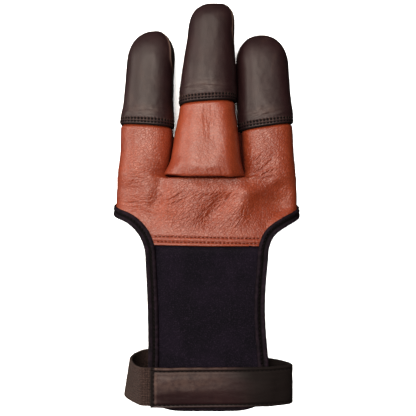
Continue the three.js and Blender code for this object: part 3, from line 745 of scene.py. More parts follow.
# %% [markdown]
# ## The tan hand part
# On the real glove one piece of leather is folded round the hand and runs on into the sleeves of
# the index and ring fingers. Three tubes flow into each other here, with webs between the
# fingers, and that is hard to make from grids. So the leather is first a form: a function that
# says for any point how far it is outside the skin. The smaller of two such functions is the
# union of two shapes, and with a rounded minimum they flow together like clay.


# %% The form of the hand part
def soft_min(a, b, k):
    blend = np.maximum(k - abs(a - b), 0) / k
    return np.minimum(a, b) - blend * blend * k / 4


def soft_max(a, b, k):
    return -soft_min(-a, -b, k)


def tube_form(x, z, section):
    centre, half, top, bottom, floor_height, power = section
    half, rise = np.maximum(half, 0.02), np.maximum((top - bottom) / 2, 0.02)
    u, v = abs(x - centre) / half, abs(z - (top + bottom) / 2) / rise
    reach = np.maximum((u**power + v**power) ** (1 / power), 0.05)
    steep = reach ** (1 - power) * np.hypot(u ** (power - 1) / half, v ** (power - 1) / rise)
    return soft_max((reach - 1) / np.maximum(steep, 0.01), floor_height - z, 0.6)


def sleeve_inset(name, y):
    """A sleeve is drawn in under its stall."""
    hem = FINGERS[name]["hem"]
    return mix(HEM_STEP * smooth(0, hem, y), STALL + CLEARANCE, smooth(hem - HEM_RUN, hem, y))


def sleeve_form(name, x, y, z):
    size = FINGERS[name]
    centre, half = finger_section(name, y)[:2]
    fade = 1 - np.minimum(abs(y - size["hem"]) / (size["hem"] * 0.8), 1)
    level = y - np.clip((x - centre) / half, -1, 1) * size["tilt"] * fade
    inset = mix(2 * LEATHER, sleeve_inset(name, level), smooth(-12, -4, level))
    form = tube_form(x, z, finger_section(name, y)) + inset
    return soft_max(form, -12 - y, 3)


FORK = {"index": (-21.4, 3.6, 25), "ring": (18.9, -2.4, 31)}  # the web's x, its lean and length


def hand_form(x, y, z):
    """Millimetres outside the tan leather's outer skin, below 0 inside it."""
    centre, half, top, bottom, floor_height, power = hand_section(y)
    top = top - 1.25 * smooth(-10, 0, y) * smooth(16, 23, abs(x - BASE["middle"]))
    form = soft_max(tube_form(x, z, (centre, half, top, bottom, floor_height, power)), y, 1.1)
    for name, (fork, lean, reach) in FORK.items():
        spread = 1.6 + 3.0 * bell(x, fork, 7)
        sleeve = sleeve_form(name, x, y, z)
        along = np.clip((y + 6) / reach, 0, 1)
        web = np.hypot(x - fork - lean * along, z - 10 + 2 * along)
        web = np.hypot(web, y - (reach * along - 6)) - (5.5 - 3.2 * along)
        form = soft_min(form, soft_min(sleeve, web, 3), spread)
    middle = soft_max(tube_form(x, z, finger_section("middle", y)), CLEARANCE - y, 4)
    return soft_max(form, 0.3 - middle, 0.5)


print("mm from the skin up to a point above the palm:", hand_form(0.0, np.array(-20.0), 45.0).round(1))

# %% [markdown]
# To get a mesh from the form, it is measured on a fine grid of points. Each grid cell that the
# skin passes through gets one vertex, and each grid line that it crosses gets one four-sided
# face. This is called surface nets. Metaballs or the Remesh modifier do something like it, but
# they don't land exactly on a given form. Here the vertices are slid along the form's slope,
# until they do.


# %% Surface nets
def skin_of(form, low, high, step):
    axes = [np.arange(a, b, step) for a, b in zip(low, high)]
    x, y, z = np.meshgrid(*axes, indexing="ij", sparse=True)
    value = np.broadcast_to(form(x, y, z), [len(a) for a in axes])
    cells = tuple(n - 1 for n in value.shape)
    total, count, edges = np.zeros((*cells, 3)), np.zeros(cells), []
    for axis in range(3):
        one = np.take(value, range(cells[axis]), axis)
        two = np.take(value, range(1, cells[axis] + 1), axis)
        at = np.argwhere((one < 0) != (two < 0))
        others = [a for a in range(3) if a != axis]
        inner = np.all([(at[:, a] > 0) & (at[:, a] < cells[a]) for a in others], axis=0)
        at = at[inner]
        first, second = one[tuple(at.T)], two[tuple(at.T)]
        crossing = at.astype(float)
        crossing[:, axis] += first / (first - second)
        around = []
        for da, db in ((1, 1), (0, 1), (0, 0), (1, 0)):
            cell = at.copy()
            cell[:, others[0]] -= da
            cell[:, others[1]] -= db
            np.add.at(total, tuple(cell.T), crossing)
            np.add.at(count, tuple(cell.T), 1)
            around.append(np.ravel_multi_index(cell.T, cells))
        quad = np.stack(around, -1)
        turned = (first < 0) == (axis == 1)
        quad[turned] = quad[turned, ::-1]
        edges.append(quad)
    used = np.flatnonzero(count)
    number = np.full(count.size, -1)
    number[used] = np.arange(len(used))
    points = total.reshape(-1, 3)[used] / count.reshape(-1, 1)[used] * step + np.array(low)
    return points, number[np.concatenate(edges)]


def slope_of(form, points, reach=0.05):
    p = points.T
    steps = np.eye(3)[:, :, None] * reach
    return np.stack([(form(*(p + step)) - form(*(p - step))) / (2 * reach) for step in steps], -1)


def way_to_skin(form, points, longest):
    """The step that takes each point to the skin, cut to a longest one."""
    slope = slope_of(form, points)
    far = form(*points.T) / np.maximum((slope**2).sum(-1), 0.2)
    return -slope * np.clip(far, -longest, longest)[:, None]


points, faces = skin_of(hand_form, (-50.3, -38, -1.7), (49.7, 42, 33.5), 0.75)
for _ in range(3):
    points = points + way_to_skin(hand_form, points, 0.5)
print("hand part's whole skin:", len(points), "points")

# %% [markdown]
# The skin is trimmed where the glove is open: along the taped edge, at the leather's lower edge
# over the panel, and inside the stalls and the middle sleeve's mouth. A Boolean modifier could
# cut it, but it often fails on an open skin. Here the faces past each line are left out, which
# the tape and the stalls hide, and one straight cut makes the lower edge that is in sight.


# %% The taped edge as a curve
def centripetal(knots, count):
    """Evenly spaced points on a smooth curve through the knots."""
    knots = np.array(knots, float)
    ends = [2 * knots[0] - knots[1], 2 * knots[-1] - knots[-2]]
    p = np.vstack([ends[0], knots, ends[1]])
    curve = []
    for i in range(1, len(p) - 2):
        steps = np.linalg.norm(np.diff(p[i - 1 : i + 3], axis=0), axis=1) ** 0.5
        t = np.concatenate([[0], np.cumsum(steps)])
        s = np.linspace(t[1], t[2], 60, endpoint=False)[:, None]
        mixed = list(p[i - 1 : i + 3])
        for span in (1, 2):
            mixed = [
                (t[j + span] - s) / (t[j + span] - t[j]) * mixed[j]
                + (s - t[j]) / (t[j + span] - t[j]) * mixed[j + 1]
                for j in range(len(mixed) - 1)
            ]
        curve.append((t[2] - s) / (t[2] - t[1]) * mixed[0] + (s - t[1]) / (t[2] - t[1]) * mixed[1])
    curve = np.vstack([*curve, knots[-1:]])
    run = run_of(curve)
    return sampled(np.linspace(0, run[-1], count), run, curve)


def down_to_y(down):
    return np.where(down <= 1, -down * PALM_LENGTH, -PALM_LENGTH - (down - 1) * PANEL_LENGTH)


EDGE_LINE = {}
for side, rows in EDGE.items():
    knots = [(around * PALM_WIDTH, float(down_to_y(np.array(down)))) for around, down in rows]
    line = centripetal(knots, 300)
    EDGE_LINE[side] = np.stack([line[:, 0] / PALM_WIDTH, line[:, 1]], -1)
    print("taped edge, side", side, "is", round(run_of(line)[-1]), "mm long in the flat")


def edge_y(around):
    """Where the taped edge crosses a place round the palm."""
    beside_palm = (line[line[:, 1] > -PALM_LENGTH - 0.5][::-1] for line in EDGE_LINE.values())
    left, right = (np.interp(abs(around), *line.T) for line in beside_palm)
    return np.where(around < 0, left, right)


def edge_around(side, y):
    """How far round the hand part the taped edge lies, at a place down the panel."""
    line = EDGE_LINE[side][::-1]
    return np.interp(y, line[:, 1], line[:, 0])


def around_at(x, y, z):
    """The signed place round the hand part that a point of its skin has."""
    centre, half, top, bottom, _, power = hand_section(y)
    rise, level = (top - bottom) / 2, (top + bottom) / 2
    u, v = abs(x - centre) / half, abs(z - level) / rise
    turn = np.arctan2(u ** (power / 2), v ** (power / 2))
    turns = np.linspace(0, 1, 65)[None] * turn[:, None]
    whole = np.linspace(0, math.pi / 2, 65)[None] + 0 * turn[:, None]

    def length(t):
        px = half[:, None] * np.sin(t) ** (2 / power[:, None])
        pz = rise[:, None] * np.cos(t) ** (2 / power[:, None])
        return np.hypot(np.diff(px), np.diff(pz)).sum(-1)

    share = length(turns) / length(whole)
    return np.sign(x - centre) * np.where(z > level, share / 2, 1 - share / 2)


# %% Trim the skin
around = around_at(*points.T)
keep = (points[:, 1] > edge_y(around) + 0.35) | (points[:, 1] > -9)
keep &= points[:, 1] > -PALM_LENGTH - 1.5
for name in FORK:
    other_side = np.sign(points[:, 0]) != np.sign(BASE[name])
    keep &= (points[:, 1] < FINGERS[name]["hem"] + 5) | other_side
mouth = abs(points[:, 1]) < 1.6
middle_base = finger_section("middle", np.zeros(len(points)))
mouth &= tube_form(points[:, 0], points[:, 2], middle_base) < -4.4
mouth &= points[:, 2] < 22.5
keep &= ~mouth
work = bmesh.new()
corners = [work.verts.new(point) for point in points]
for face in faces[keep[faces].all(1)]:
    work.faces.new([corners[v] for v in face])
bmesh.ops.delete(work, geom=[v for v in work.verts if not v.link_faces], context="VERTS")
whole = work.verts[:] + work.edges[:] + work.faces[:]
EDGE_RISE, EDGE_SLOPE = 0.36, 0.0227
on_edge, past_edge = (0, EDGE_RISE - PALM_LENGTH, 0), Vector((-EDGE_SLOPE, -1, 0)).normalized()
bmesh.ops.bisect_plane(work, geom=whole, plane_co=on_edge, plane_no=past_edge, clear_outer=True)
print("trimmed skin:", len(work.verts), "points")

# %% [markdown]
# Leather has a thickness, so every point gets a partner on the inside, 1.3 mm further in. The
# Solidify modifier does that too, but here the outer points have to be known afterwards. The
# visible upper side is then divided once more, because its creases are finer than the first
# grid. The underside lies on the table and keeps the coarse one.


# %% Give the skin a wall and divide its upper side
def walled(work, form, wall):
    """Adds the inner side and the rims, and marks the outer points in a layer."""
    outer = work.verts.layers.float.new("outer")
    outside = work.verts[:]
    where = np.array([v.co for v in outside])
    inside = where - unit(slope_of(form, where)) * wall
    rim = [edge for edge in work.edges if edge.is_boundary]
    rim = [(edge.link_loops[0].vert, edge.link_loops[0].link_loop_next.vert) for edge in rim]
    skin = work.faces[:]
    partner = {}
    for vertex, place in zip(outside, inside):
        vertex[outer] = 1
        partner[vertex] = work.verts.new(place)
    for face in skin:
        work.faces.new([partner[v] for v in reversed(face.verts)])
    for start, end in rim:
        work.faces.new((end, start, partner[start], partner[end]))
    return skin, outer


skin, outer = walled(work, hand_form, LEATHER)
upper = [face for face in skin if face.normal.z > 0.12 and face.calc_center_median().z > 8]
edges = {edge for face in upper for edge in face.edges}
bmesh.ops.subdivide_edges(work, edges=list(edges), cuts=1, use_grid_fill=True)
work.verts.index_update()
points = np.array([v.co for v in work.verts])
is_outer = np.array([v[outer] for v in work.verts]) > 0.9
faces = [[v.index for v in face.verts] for face in work.faces]
work.free()
above_edge = points[:, 1] + PALM_LENGTH - EDGE_RISE + EDGE_SLOPE * points[:, 0]
settle = is_outer & (above_edge > 0.8)
points = points + way_to_skin(hand_form, points, 0.2) * settle[:, None]
around = around_at(*points.T)
print("walled skin:", len(points), "points")

# %% [markdown]
# Now the leather gets its life. It could be sculpted by hand, but a table of folds can be read,
# changed and run again. The broad dents and the plump ridge under the seam give the large
# lights and darks of the palm. Sharper folds start at the corners of the middle sleeve, where
# the seam pulls the leather together. Each is a narrow valley with a raised lip on both sides.
# Still finer wrinkles come from the finish, and masks tell it where they run, and how.

# %% Folds of the tan leather
BROAD = [  # x, y, turn, half length, half width, depth in mm; below 0 it is a ridge
    (-25.5, -11.0, 77, 12.0, 4.2, 2.0), (-33.0, -15.5, 5, 7.0, 3.0, 0.6),
    (3.6, -16.4, 50, 10.0, 3.6, 1.9), (30.0, -14.5, 20, 12.5, 7.0, 2.0),
    (46.0, -13.0, 85, 13.0, 17.0, 2.9), (18.0, -13.0, 62, 11.0, 4.8, -1.7),
    (-8.0, -14.0, 60, 9.0, 4.6, -0.5), (-33.0, -4.6, 0, 9.0, 3.2, -0.4),
    (3.0, -6.6, -2, 21.0, 3.6, -1.1), (20.5, -7.0, 3, 7.0, 2.8, -0.45),
    (33.5, -2.5, 24, 7.0, 2.6, -0.5), (27.5, -0.6, 2, 7.0, 2.4, 0.5),
    (-26.0, 5.0, -66, 9.0, 3.5, 0.6), (29.5, 6.5, 35, 6.0, 3.0, 0.4),
]
FOLDS = [  # the same columns
    (-23.9, -8.9, 80, 9.5, 0.45, 0.2), (-22.2, -5.8, 74, 4.5, 0.45, 0.1),
    (-34.5, -13.2, -4, 8.0, 0.5, 0.2), (-32.6, -16.4, -9, 6.0, 0.5, 0.18),
    (-31.0, -11.2, 12, 5.0, 0.5, 0.12), (-17.6, -10.4, 28, 5.5, 0.55, 0.26),
    (-18.9, -13.6, 20, 5.0, 0.5, 0.2), (-14.0, -12.6, 36, 4.5, 0.5, 0.16),
    (-18.6, -18.2, 2, 4.5, 0.5, 0.14), (-7.2, -6.9, 34, 4.0, 0.5, 0.12),
    (8.6, -12.0, 50, 6.4, 0.55, 0.22), (11.4, -9.4, 52, 5.0, 0.5, 0.18),
    (-12.5, -21.5, 22, 5.0, 0.5, 0.12), (-2.5, -18.5, 46, 4.4, 0.55, 0.15),
    (21.6, 5.6, 60, 4.0, 0.5, -0.24), (23.4, 5.4, 52, 5.0, 0.5, -0.26),
    (25.4, 4.4, 38, 6.4, 0.5, -0.28), (27.4, 6.6, 27, 4.6, 0.45, -0.2),
    (24.6, 9.6, 58, 4.4, 0.45, -0.2), (29.5, 9.5, 42, 4.0, 0.45, -0.14),
    (28.6, 2.6, 20, 6.4, 0.55, -0.26), (28.0, 0.6, 5, 6.4, 0.55, -0.2),
    (22.0, 12.0, 72, 3.6, 0.45, -0.14), (-30.0, 6.0, -8, 4.5, 0.5, 0.08),
    (-29.0, 3.4, -12, 5.0, 0.5, 0.1), (-27.5, 8.5, -20, 3.6, 0.5, 0.07),
]
# x, y and both half sizes of the patches where the fine net runs in one direction
SLANT = [(-20, -13, 10, 8), (2, -12, 12, 9), (27, 6, 9, 8), (12, -20, 12, 6), (-6, -22, 14, 6)]
LEVEL = [(-34, -14, 9, 6), (-18, -19, 7, 5), (-36, 2, 6, 9)]
UPRIGHT = [(1, 26, 7, 15)]


def broad_depth(x, y, dents):
    depth = 0.0
    for cx, cy, turn, length, width, deep in dents:
        along, over = laid_along(x, y, cx, cy, turn)
        depth = depth + deep * bell(along, 0, length) * bell(over, 0, width)
    return depth


def fold_depth(x, y, folds):
    depth = np.zeros_like(x)
    for cx, cy, turn, length, width, deep in folds:
        along, over = laid_along(x, y, cx, cy, turn)
        along = along / length
        over = over / width + 0.7 * np.sin(along * 2.6 + cx)
        lips = 0.45 * bell(abs(over), 2.2, 1)
        depth += deep * (bell(over, 0, 1) - lips) * np.exp(-(along**4))
    return depth


def wrinkle_depth(points, turn, stretch, seed):
    """Fine wrinkles along one direction, from the sharp valleys of a noise."""
    depth = np.empty(len(points))
    along, over = laid_along(*points.T[:2], 0, 0, turn)
    for i, ((x, y, z), a, b) in enumerate(zip(points, along, over)):
        b += noise.noise(Vector((x / 8, y / 8, seed))) * 2.5
        wave = noise.noise(Vector((a / stretch, b / 1.5, z / 8 + seed)))
        fine = noise.noise(Vector((a / stretch * 1.9, b / 0.8, seed)))
        depth[i] = (1 - abs(wave)) ** 4 + 0.5 * (1 - abs(fine)) ** 4 - 0.5
    return depth


def patch(x, y, places):
    shares = [bell(x, cx, rx) * bell(y, cy, ry) for cx, cy, rx, ry in places]
    return np.clip(sum(shares), 0, 1)


print(len(BROAD), "broad dents and", len(FOLDS), "folds in the tables")

# %% [markdown]
# The tables are now pressed into the skin. All of it fades out towards the taped edge and the
# lower edge, so that the tape and the two stitched rows lie on smooth leather. The rows draw
# the leather down in small steps, one at each stitch, and the strips between them puff up.

# %% Press the folds and the stitched rows into the skin
normals = unit(slope_of(hand_form, points))
x, y, z = points.T
above = 1 - smooth(0.34, 0.46, abs(around))
facing_up = smooth(0.0, 0.5, normals[:, 2]) * smooth(10, 15, z)
inland, from_end = np.minimum(y - edge_y(around), 40), y + PALM_LENGTH
quiet_edge = smooth(3.4, 7, inland) * smooth(5, 9, from_end)
broad = broad_depth(x, y, BROAD) * smooth(3.2, 8.0, inland) * smooth(5, 12, from_end)
points[:, 2] -= broad * above * smooth(12, 17, z)
slant, level, upright = (patch(x, y, places) for places in (SLANT, LEVEL, UPRIGHT))
fold = np.zeros(len(points))
pick = np.flatnonzero(is_outer & (facing_up * quiet_edge > 0.02))
fold[pick] = fold_depth(x[pick], y[pick], FOLDS)
fold[pick] += 0.14 * slant[pick] * wrinkle_depth(points[pick], 42, 5.0, 1.0)
fold[pick] += 0.1 * level[pick] * wrinkle_depth(points[pick], 4, 5.0, 7.0)
fold[pick] += 0.05 * (1 - slant[pick]) * wrinkle_depth(points[pick], 25, 3.0, 4.0)
fold *= facing_up * quiet_edge
soft = np.zeros(len(points))
soft[is_outer] = waves(points[is_outer] / 8)
soft *= 0.2 * smooth(3.4, 8, inland) * smooth(5, 10, from_end)
HEM_ROWS, STITCH = (1.75, 4.3), 1.95
beat = 0.5 - 0.5 * np.cos(2 * math.pi * (x + 26) / STITCH)
row_groove = sum(bell(above_edge, row, 0.45) for row in HEM_ROWS)
row_puff = bell(above_edge, 3.0, 0.7) + 0.8 * bell(above_edge, 0.6, 0.5)
on_top = smooth(0.3, 0.6, normals[:, 2])
sewn = (row_groove * (0.2 + 0.22 * beat) - row_puff * 0.26) * on_top
points = points - normals * ((fold - soft + sewn) * is_outer)[:, None]
forks = sum(bell(x - lean * (y + 6) / reach, fork, 3.2) for fork, lean, reach in FORK.values())
# Painted shade: darker, duller leather in the fold valleys, the stitched rows' grooves, the webs between
# the fingers and a strip under the middle seam.
hollow = np.clip(fold * 1.2, 0, 0.6) + 0.4 * row_groove * on_top
hollow += forks * smooth(-3, 2, y) * smooth(24, 12, z)
hollow += 0.15 * bell(y, -0.2, 0.6) * (abs(x - BASE["middle"]) < 19.5)

hand_part = new_piece(
    "tan_hand_part", points, faces, tan_leather, ["glove_body"], "tan_leather",
    hollow=np.clip(hollow, 0, 1), slant=slant, level=level, upright=upright,
)
faces_outwards(hand_part)

# %% [markdown]
# ## The middle finger's sleeve
# It is a piece of its own, sewn on with its base turned in, so it stands proud of the palm and
# puckers along the seam. It could be part of the hand part's form, but then that sharp step
# would be rounded off. Rings are enough for it: each follows the finger's section, and the first
# ones turn in under the base, where they close the step above the palm.


# %% Rings of the middle sleeve
def grid_normals(grid):
    """Outward normals of a grid of closed rings that starts underneath."""
    across = np.roll(grid, -1, 1) - np.roll(grid, 1, 1)
    normal = unit(np.cross(np.gradient(grid, axis=0), across))
    middle = normal[len(normal) // 2, normal.shape[1] // 2]
    return normal if middle[2] > 0 else -normal


SLEEVE_COLUMNS = 250
sleeve_around = np.linspace(-1, 1, SLEEVE_COLUMNS, endpoint=False)[None]
hem = FINGERS["middle"]["hem"]
turn = np.linspace(0, 1, 10)[:-1] * math.pi / 2
plump = 0.35 * SEAM_ROUND
base = [(CLEARANCE, turned_in) for turned_in in (7.6, 6.2, 4.8, 3.4, 2.0)]
base += [(CLEARANCE + plump * (1 - math.cos(t)), plump * (1 - math.sin(t))) for t in turn]
rows = base + [(y, 0) for y in np.arange(CLEARANCE + plump, hem - HEM_RUN, 0.4)]
rows += [(y, 0) for y in np.linspace(hem - HEM_RUN, hem + 5, 12)]
sleeve_y, sleeve_in = (np.array(column)[:, None] for column in zip(*rows))
drawn_in = HEM_STEP * smooth(0.65 * hem, hem - HEM_RUN, sleeve_y)
drawn_in = mix(drawn_in, STALL + CLEARANCE, smooth(hem - HEM_RUN, hem, sleeve_y))
closed = smooth(0.62, 0.5, abs(sleeve_around))
sleeve_in = np.minimum(sleeve_in, plump) + np.maximum(sleeve_in - plump, 0) * closed
sleeve = finger_point("middle", sleeve_around, sleeve_y, sleeve_in + drawn_in)
skirt = bell(sleeve_y, 0, 6) * smooth(12, 20, sleeve[..., 2])
from_centre = sleeve[..., 0] - BASE["middle"]
sleeve[..., 0] += skirt * (0.5 * smooth(8, 17, from_centre) - 1.7 * smooth(-9, -18, from_centre))
sleeve[..., 1] += skirt * smooth(-10, -18, from_centre)
print("middle sleeve:", len(sleeve), "outer rings,", len(base), "of them in the turned base")

# %% [markdown]
# The sleeve gets broad dents, a few folds along the finger and short puckers beside the seam,
# in the same way as the palm. Its inner side is a coarser set of rings, which are joined to the
# outer ones at both ends, so that the piece is closed.

# %% Middle sleeve
SLEEVE_BROAD = [
    (0.6, 26, 88, 14, 2.8, 0.3), (10.2, 20, 94, 24, 4.8, -1.15), (-9.0, 20, 90, 20, 4.0, -0.3),
    (0.0, 5.2, 0, 15, 2.6, -0.35), (-14.5, 5.0, 60, 5, 2.6, -0.4),
]
SLEEVE_FOLDS = [
    (1.4, 31, 88, 7, 0.5, 0.1), (-1.6, 28, 92, 8, 0.5, 0.06), (3.6, 25, 84, 7, 0.5, 0.06),
    (15.2, 8, 112, 6, 0.9, 0.12), (-15.5, 7, 66, 4, 0.8, 0.08),
]
flat, normals = sleeve.reshape(-1, 3), grid_normals(sleeve)
x, y, z = flat.T
facing_up = smooth(0.1, 0.6, normals[..., 2]).ravel()
upright = patch(x, y, UPRIGHT)
fold = fold_depth(x, y, SLEEVE_FOLDS)
pick = np.flatnonzero(facing_up > 0.02)
fold[pick] += (0.01 + 0.03 * upright[pick]) * wrinkle_depth(flat[pick], 88, 5.0, 3.0)
puckers = [noise.noise(Vector((a / 0.9, b / 7, 2))) for a, b in zip(x + 0.4 * y, y)]
fold += 0.24 * np.array(puckers) * bell(y, 2.4, 1.8) * smooth(0.6, 1.6, y)
fold += 0.12 * bell(y, 0.9, 0.5)
fold *= facing_up
fine = fold.copy()
fold += broad_depth(x, y, SLEEVE_BROAD) * facing_up
relief = (0.2 * waves(flat / 8) - fold) * smooth(hem, hem - 4, y)
skin = sleeve + normals * relief.reshape(*sleeve.shape[:2], 1)
inner_y = np.append(sleeve_y[len(base):-1:4], sleeve_y[-1])[:, None].clip(CLEARANCE + LEATHER)
inner_in = mix(0.0, STALL + CLEARANCE, smooth(hem - HEM_RUN, hem, inner_y))
inner_in += LEATHER + 1.4 * (inner_y < 3)
inside = finger_point("middle", sleeve_around, inner_y, inner_in)
below = broad_depth(inside[..., 0], inside[..., 1], SLEEVE_BROAD) * smooth(14, 18, inside[..., 2])
inside[..., 2] -= below.clip(0)
spare = np.zeros(inside[..., 0].size)
# Painted shade in the fold valleys and along the base seam.
hollow = np.clip(fine * 1.2, 0, 0.5) + 0.15 * bell(y, 0.4, 0.4)
ring_piece(
    "middle_sleeve_leather", np.concatenate([skin, inside[::-1]]), tan_leather,
    "middle_sleeve", "tan_leather", joined=True, calm=1,
    hollow=np.append(hollow.clip(0, 1), spare), upright=np.append(upright, spare),
)

# %% [markdown]
# ## The fingertip stalls
# Each stall is a smooth dark cap. Its open end is turned in and sewn twice, which leaves a
# shallow channel with a puffed strip on both sides. A seam runs along both sides and round the
# tip, where the back and the front half meet. A cylinder could be sculpted into it, but the
# cap's form is known, so these are rings again, and one function gives its relief: how far the
# leather stands proud of the plain form, where shade is painted on it and where highlights are
# painted on it.


# %% Relief of a stall
STITCH_ROWS = (2.95, 1.45)
STALL_FOLDS = {
    "index": [(-33.5, 34.6, 4, 6.0, 0.6, 0.07), (-30.0, 37.4, -6, 5.0, 0.6, 0.05)],
    "middle": [(-0.6, 46.9, 2, 8.5, 0.55, 0.12), (2.4, 49.2, -4, 5.0, 0.5, 0.05)],
    "ring": [
        (27.5, 34.0, 26, 6.0, 0.6, 0.16), (29.0, 36.0, 30, 5.0, 0.55, 0.12),
        (33.0, 33.0, 14, 6.0, 0.6, 0.1), (34, 45.5, 3, 6.0, 0.55, 0.07),
    ],
}
SEAM_LEAN = {"index": 0.2, "middle": 0.2, "ring": 0.0}


STALL_STITCH, SIDE_LENGTH = 1.78, 42  # mm a stitch, and about mm from one side to the other


def stitch_count(name, up):
    ring = finger_point(name, np.linspace(-1, 1, 200), FINGERS[name]["hem"] + up)
    return round(float(run_of(ring)[-1]) / STALL_STITCH)


def sewn_hem(name, around, up):
    """The two rows at the open end: relief, painted shade at the edge and the holes, and how near a hole
    each place is.
    """
    relief, hollow = -0.5 * smooth(0.6, 0.0, up), smooth(0.75, 0.45, up)
    for row, deep, wide, dark in ((STITCH_ROWS[1], 0.22, 0.42, 0.9), (STITCH_ROWS[0], 0.46, 0.62, 1.7)):
        beat = 0.5 - 0.5 * np.cos(math.pi * (around + 1) * stitch_count(name, row))
        relief = relief - bell(up, row, 0.45) * deep * (0.35 + 0.85 * beat)
        hollow = hollow + bell(up, row, wide) * beat * dark
    relief += 0.26 * bell(up, 2.2, 0.35) + 0.3 * bell(up, 6.2, 2.4)
    relief += (0.12 + 0.16 * (1 - beat)) * bell(up, 3.6, 0.45)
    return relief, hollow, beat


def stall_relief(name, around, up, skin):
    size, (x, y, z) = FINGERS[name], np.moveaxis(skin, -1, 0)
    relief, hollow, beat = sewn_hem(name, around, up)
    share = up / (size["length"] - size["hem"])
    lean = SEAM_LEAN[name] * smooth(0.42, 0.72, share)
    seam_at = np.where(around > 0, 0.5 - lean, -0.5)
    side = (abs(around) - abs(seam_at)) * SIDE_LENGTH + 0 * up
    sewn, shown, top = smooth(4.5, 9, up), lean / 0.2 * (around > 0), smooth(10, 14, z)
    relief += (0.24 * bell(side, 0, 0.6) - 0.3 * bell(side, 1.6, 0.7)) * sewn
    # Painted shade beside the seam and past it, on the side that faces away from the light.
    hollow += (0.8 * bell(side, 1.9, 0.7) + 0.4 * smooth(1.8, 2.8, side)) * sewn * shown
    relief -= (fold_depth(x, y, STALL_FOLDS[name]) + 0.35 * bell(share, 0.62, 0.2)) * top
    relief += waves(skin / (6, 1.6, 6)) * 0.16 * bell(up, 7.5, 4.5)
    relief += waves(skin / (8, 11, 8)) * 0.16 * smooth(4, 9, up)
    # Painted highlights: a patch above the hem on top, the strips between the outer row's stitches and a
    # line along the seam.
    rubbed = (0.38 * bell(up, 7.5, 2.6) + 0.4 * bell(up, 2.2, 0.4)) * bell(around, -0.03, 0.17)
    rubbed += (1 - beat) ** 2 * 0.8 * bell(up, STITCH_ROWS[0] + 0.2, 0.6)
    rubbed += 2.2 * bell(side, 0, 0.75) * sewn * shown
    for beside in {"index": (), "middle": (0.5,), "ring": (-0.5,)}[name]:
        relief += 0.4 * bell(around, beside, 0.1) * smooth(64, 52, size["hem"] + up)
    return relief, np.clip(hollow, 0, 1), rubbed


print({name: stitch_count(name, STITCH_ROWS[0]) for name in FINGERS}, "stitches round a stall")


# %% Stalls
def stall(name, columns=240):
    size = FINGERS[name]
    hem, length, dome = size["hem"], size["length"], size["dome"]
    around = np.linspace(-1, 1, columns, endpoint=False)[None]
    shaft = np.concatenate([np.arange(0, 9, 0.25), np.arange(9, length - dome - hem, 0.6)]) + hem
    tip = length - dome + dome * np.sin(np.linspace(0, math.pi / 2, 44))[:-1]
    y = np.concatenate([shaft, tip])[:, None]
    skin = finger_point(name, around, y)
    relief, hollow, rubbed = stall_relief(name, around, y - hem, skin)
    skin = skin + grid_normals(skin) * relief[..., None]
    skin[..., 2] = np.maximum(skin[..., 2], 0)
    back = np.linspace(hem + 0.6, length - dome, 24)
    inner_tip = length - dome + (dome - STALL) * np.sin(np.linspace(0, math.pi / 2, 12))[1:-1]
    turned_in = [finger_point(name, around, hem - 0.15, 0.95), finger_point(name, around, hem, STALL)]
    levels = np.concatenate([back, inner_tip])
    inner = [finger_point(name, around, level, STALL) for level in levels]
    # Painted shade: the two turned-in rings at the opening are set to full shade.
    rim, spare = np.ones(2 * columns), np.zeros(len(inner) * columns)
    ring_piece(
        f"{name}_stall_leather", np.concatenate([skin[::-1], *turned_in, *inner]), brown_leather,
        f"{name}_stall", "brown_leather",
        hollow=np.concatenate([hollow[::-1].ravel(), rim, spare]),
        rubbed=np.concatenate([rubbed[::-1].ravel(), 0 * rim, spare]),
    )


for name in FINGERS:
    stall(name)

# %% [markdown]
# ## The stretch panel
# The panel is a sheet of jersey. It starts under the leather's lower edge, comes up to the
# leather's level past it, and its sides lie inside the folded tape. A cloth simulation could
# drape it, but it is drawn flat between its sewn sides, so its shape is known: it is the hand
# part's own curve, with a faint ripple near its middle.


# %% Panel
PANEL_END = float(down_to_y(np.array(1.997)))
panel_y = np.concatenate([
    np.linspace(-PALM_LENGTH + LAP, -PALM_LENGTH - 8, 40),
    np.linspace(-PALM_LENGTH - 8.5, PANEL_END + 4, 120),
    PANEL_END + 4 * np.cos(np.linspace(0, math.pi / 2, 16))[1:],
])[:, None]
past_palm = -PALM_LENGTH - panel_y
leg = (TAPE_WIDTH - TAPE) / PALM_WIDTH
beside = np.minimum(panel_y, -PALM_LENGTH - 0.3)
left, right = (edge_around(side, beside) - leg * smooth(0.4, -1.6, past_palm) for side in (-1, 1))
share = np.linspace(0, 1, 130)[None]
panel_around = mix(-left, right, share)
buried = (LEATHER + CLEARANCE + 0.1) * smooth(3.6, 0.6, past_palm)
upper = hand_point(panel_around, panel_y, buried)
inside = smooth(0, 0.16, share) * smooth(1, 0.84, share) * smooth(PANEL_END, PANEL_END + 12, panel_y)
ripple = waves(upper / (11, 16, np.inf) + (0, 0, 3), octaves=2)
upper[..., 2] += ripple * 0.3 * inside * smooth(1, 8, past_palm)
lower = hand_point(panel_around, panel_y, buried + FABRIC)
lower[..., 2] = np.minimum(lower[..., 2], upper[..., 2] - FABRIC * 0.9)
rings = np.concatenate([upper, lower[:, ::-1]], 1)
panel = ring_piece(
    "stretch_panel", rings, stretch_fabric, "wrist_panel", "stretch_fabric", cloth=rings * (1, 1, 0)
)

# %% [markdown]
# ## The edge tape
# One ribbon is folded over the whole edge and sewn through. Its section is a U with rounded
# corners. A bevelled curve would give that U too, but it would turn about the curve and leave
# the leather's face. So at each place along the edge the way outwards is found, which is square
# to the edge and lies in that face, and the U is laid there with two small steps, one round the
# hand and one along it.


